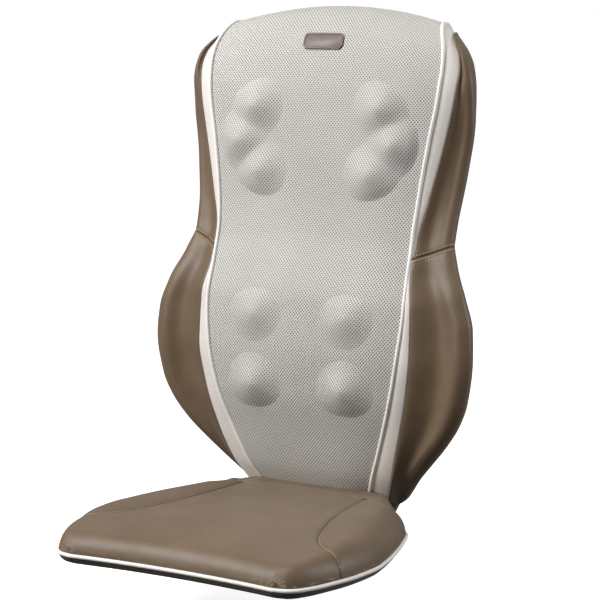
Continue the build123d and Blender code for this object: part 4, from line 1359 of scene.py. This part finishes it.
@dataclass
class Studio:
    """A plain pale floor, soft light from the upper left, and the camera."""

    position: tuple[float, float, float] = (1.4583, -2.3338, 0.7302)
    azimuth: float = 31.05
    elevation: float = 8.37
    lens: float = 127.9
    low_glow: float = 0.08  # the surround's light from below and from above
    high_glow: float = 0.36
    floor_z: float = -0.09  # clear of the seat's front edge at the lowest it can hang
    floor_half: float = 9.0
    floor_glow: float = 0.8

    def build_floor(self) -> None:
        """Makes the floor, which isn't part of the object."""
        bm = bmesh.new()
        bmesh.ops.create_grid(bm, x_segments=1, y_segments=1, size=self.floor_half)
        data = bpy.data.meshes.new("studio_floor")
        bm.to_mesh(data)
        bm.free()
        floor = bpy.data.objects.new("studio_floor", data)
        bpy.context.scene.collection.objects.link(floor)
        floor.location.z = self.floor_z
        paper = Finish("floor_paper_white", "#F6F6F5", "#F2F2F1", roughness=0.9, mottle_mm=900)
        made = paper.material()
        shader = made.node_tree.nodes["Principled BSDF"]
        shader.inputs["Emission Color"].default_value = (1.0, 1.0, 1.0, 1.0)
        shader.inputs["Emission Strength"].default_value = self.floor_glow
        data.materials.append(made)
        floor.visible_diffuse = floor.visible_glossy = False
        floor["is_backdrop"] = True

    def add_light(self, name: str, place: tuple, aim: tuple, size: float, power: float) -> None:
        """Adds one square soft light.

        Args:
            name: what the light is called.
            place: where it stands.
            aim: the point that it looks at.
            size: its side, in metres.
            power: in watts.
        """
        light = bpy.data.lights.new(name, "AREA")
        light.shape, light.size, light.energy = "SQUARE", size, power
        holder = bpy.data.objects.new(name, light)
        holder.location = place
        holder.rotation_euler = (Vector(aim) - Vector(place)).to_track_quat("-Z", "Y").to_euler()
        bpy.context.scene.collection.objects.link(holder)

    def build_world(self) -> None:
        """Makes a plain white surround that lights softly and shows white."""
        world = bpy.data.worlds.new("studio")
        bpy.context.scene.world = world
        world.use_nodes = True
        tree = world.node_tree
        back = tree.nodes["Background"]
        back.inputs["Color"].default_value = (1.0, 1.0, 1.0, 1.0)
        seen = add_node(tree, "ShaderNodeLightPath").outputs["Is Camera Ray"]
        way = add_node(tree, "ShaderNodeTexCoord").outputs["Generated"]
        high = add_node(tree, "ShaderNodeSeparateXYZ", {"Vector": way}).outputs["Z"]
        glow = add_node(tree, "ShaderNodeMapRange", {
            "Value": high, "From Min": -0.5, "To Min": self.low_glow, "To Max": self.high_glow})
        strength = add_node(tree, "ShaderNodeMix", {
            "Factor": seen, 2: glow.outputs["Result"], 3: 1.0})
        tree.links.new(strength.outputs[0], back.inputs["Strength"])

    def build(self) -> None:
        """Makes the floor, the surround, the lights and the camera."""
        self.build_floor()
        self.build_world()
        self.add_light("key", (-1.6, -1.9, 1.8), (0.0, 0.0, 0.4), 1.3, 76.0)
        self.add_light("edge", (1.9, 0.8, 0.9), (0.1, 0.1, 0.3), 0.8, 18.0)
        self.add_light("top", (-0.4, -1.0, 2.5), (0.0, -0.2, 0.1), 1.2, 26.0)
        lens = bpy.data.cameras.new("camera")
        lens.lens, lens.sensor_width = self.lens, 36.0
        lens.clip_start, lens.clip_end = 0.1, 60.0
        holder = bpy.data.objects.new("camera", lens)
        a, e = math.radians(self.azimuth), math.radians(self.elevation)
        back = Vector((math.sin(a) * math.cos(e), -math.cos(a) * math.cos(e), math.sin(e)))
        holder.location = self.position
        holder.rotation_mode = "QUATERNION"
        holder.rotation_quaternion = (-back).to_track_quat("-Z", "Y")
        bpy.context.scene.collection.objects.link(holder)
        bpy.context.scene.camera = holder
        bpy.context.scene.view_settings.view_transform = "Standard"


def write_sizes() -> None:
    boxes = {"cad": CAD_BOX, "visual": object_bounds()}
    plain = {name: [list(corner) for corner in box] for name, box in boxes.items()}


def main() -> None:
    """Builds the sub-assemblies in order."""
    logging.basicConfig(level=logging.INFO, format="%(name)s %(message)s", stream=sys.stdout)
    dress_cad_parts()
    MeshCover().build()
    for side in Side:
        HeadCover("upper", side, 524.0, 95.0, (122, 187, 252)).build()
        HeadCover("lower", side, 237.0, 119.5, (90, 270)).build()
    Bands().build()
    wings = Wings()
    wings.build()
    Badge().build()
    RearCover().build(wings)
    Seat().build()
    Studio().build()
    write_sizes()


if __name__ == "__main__":
    main()
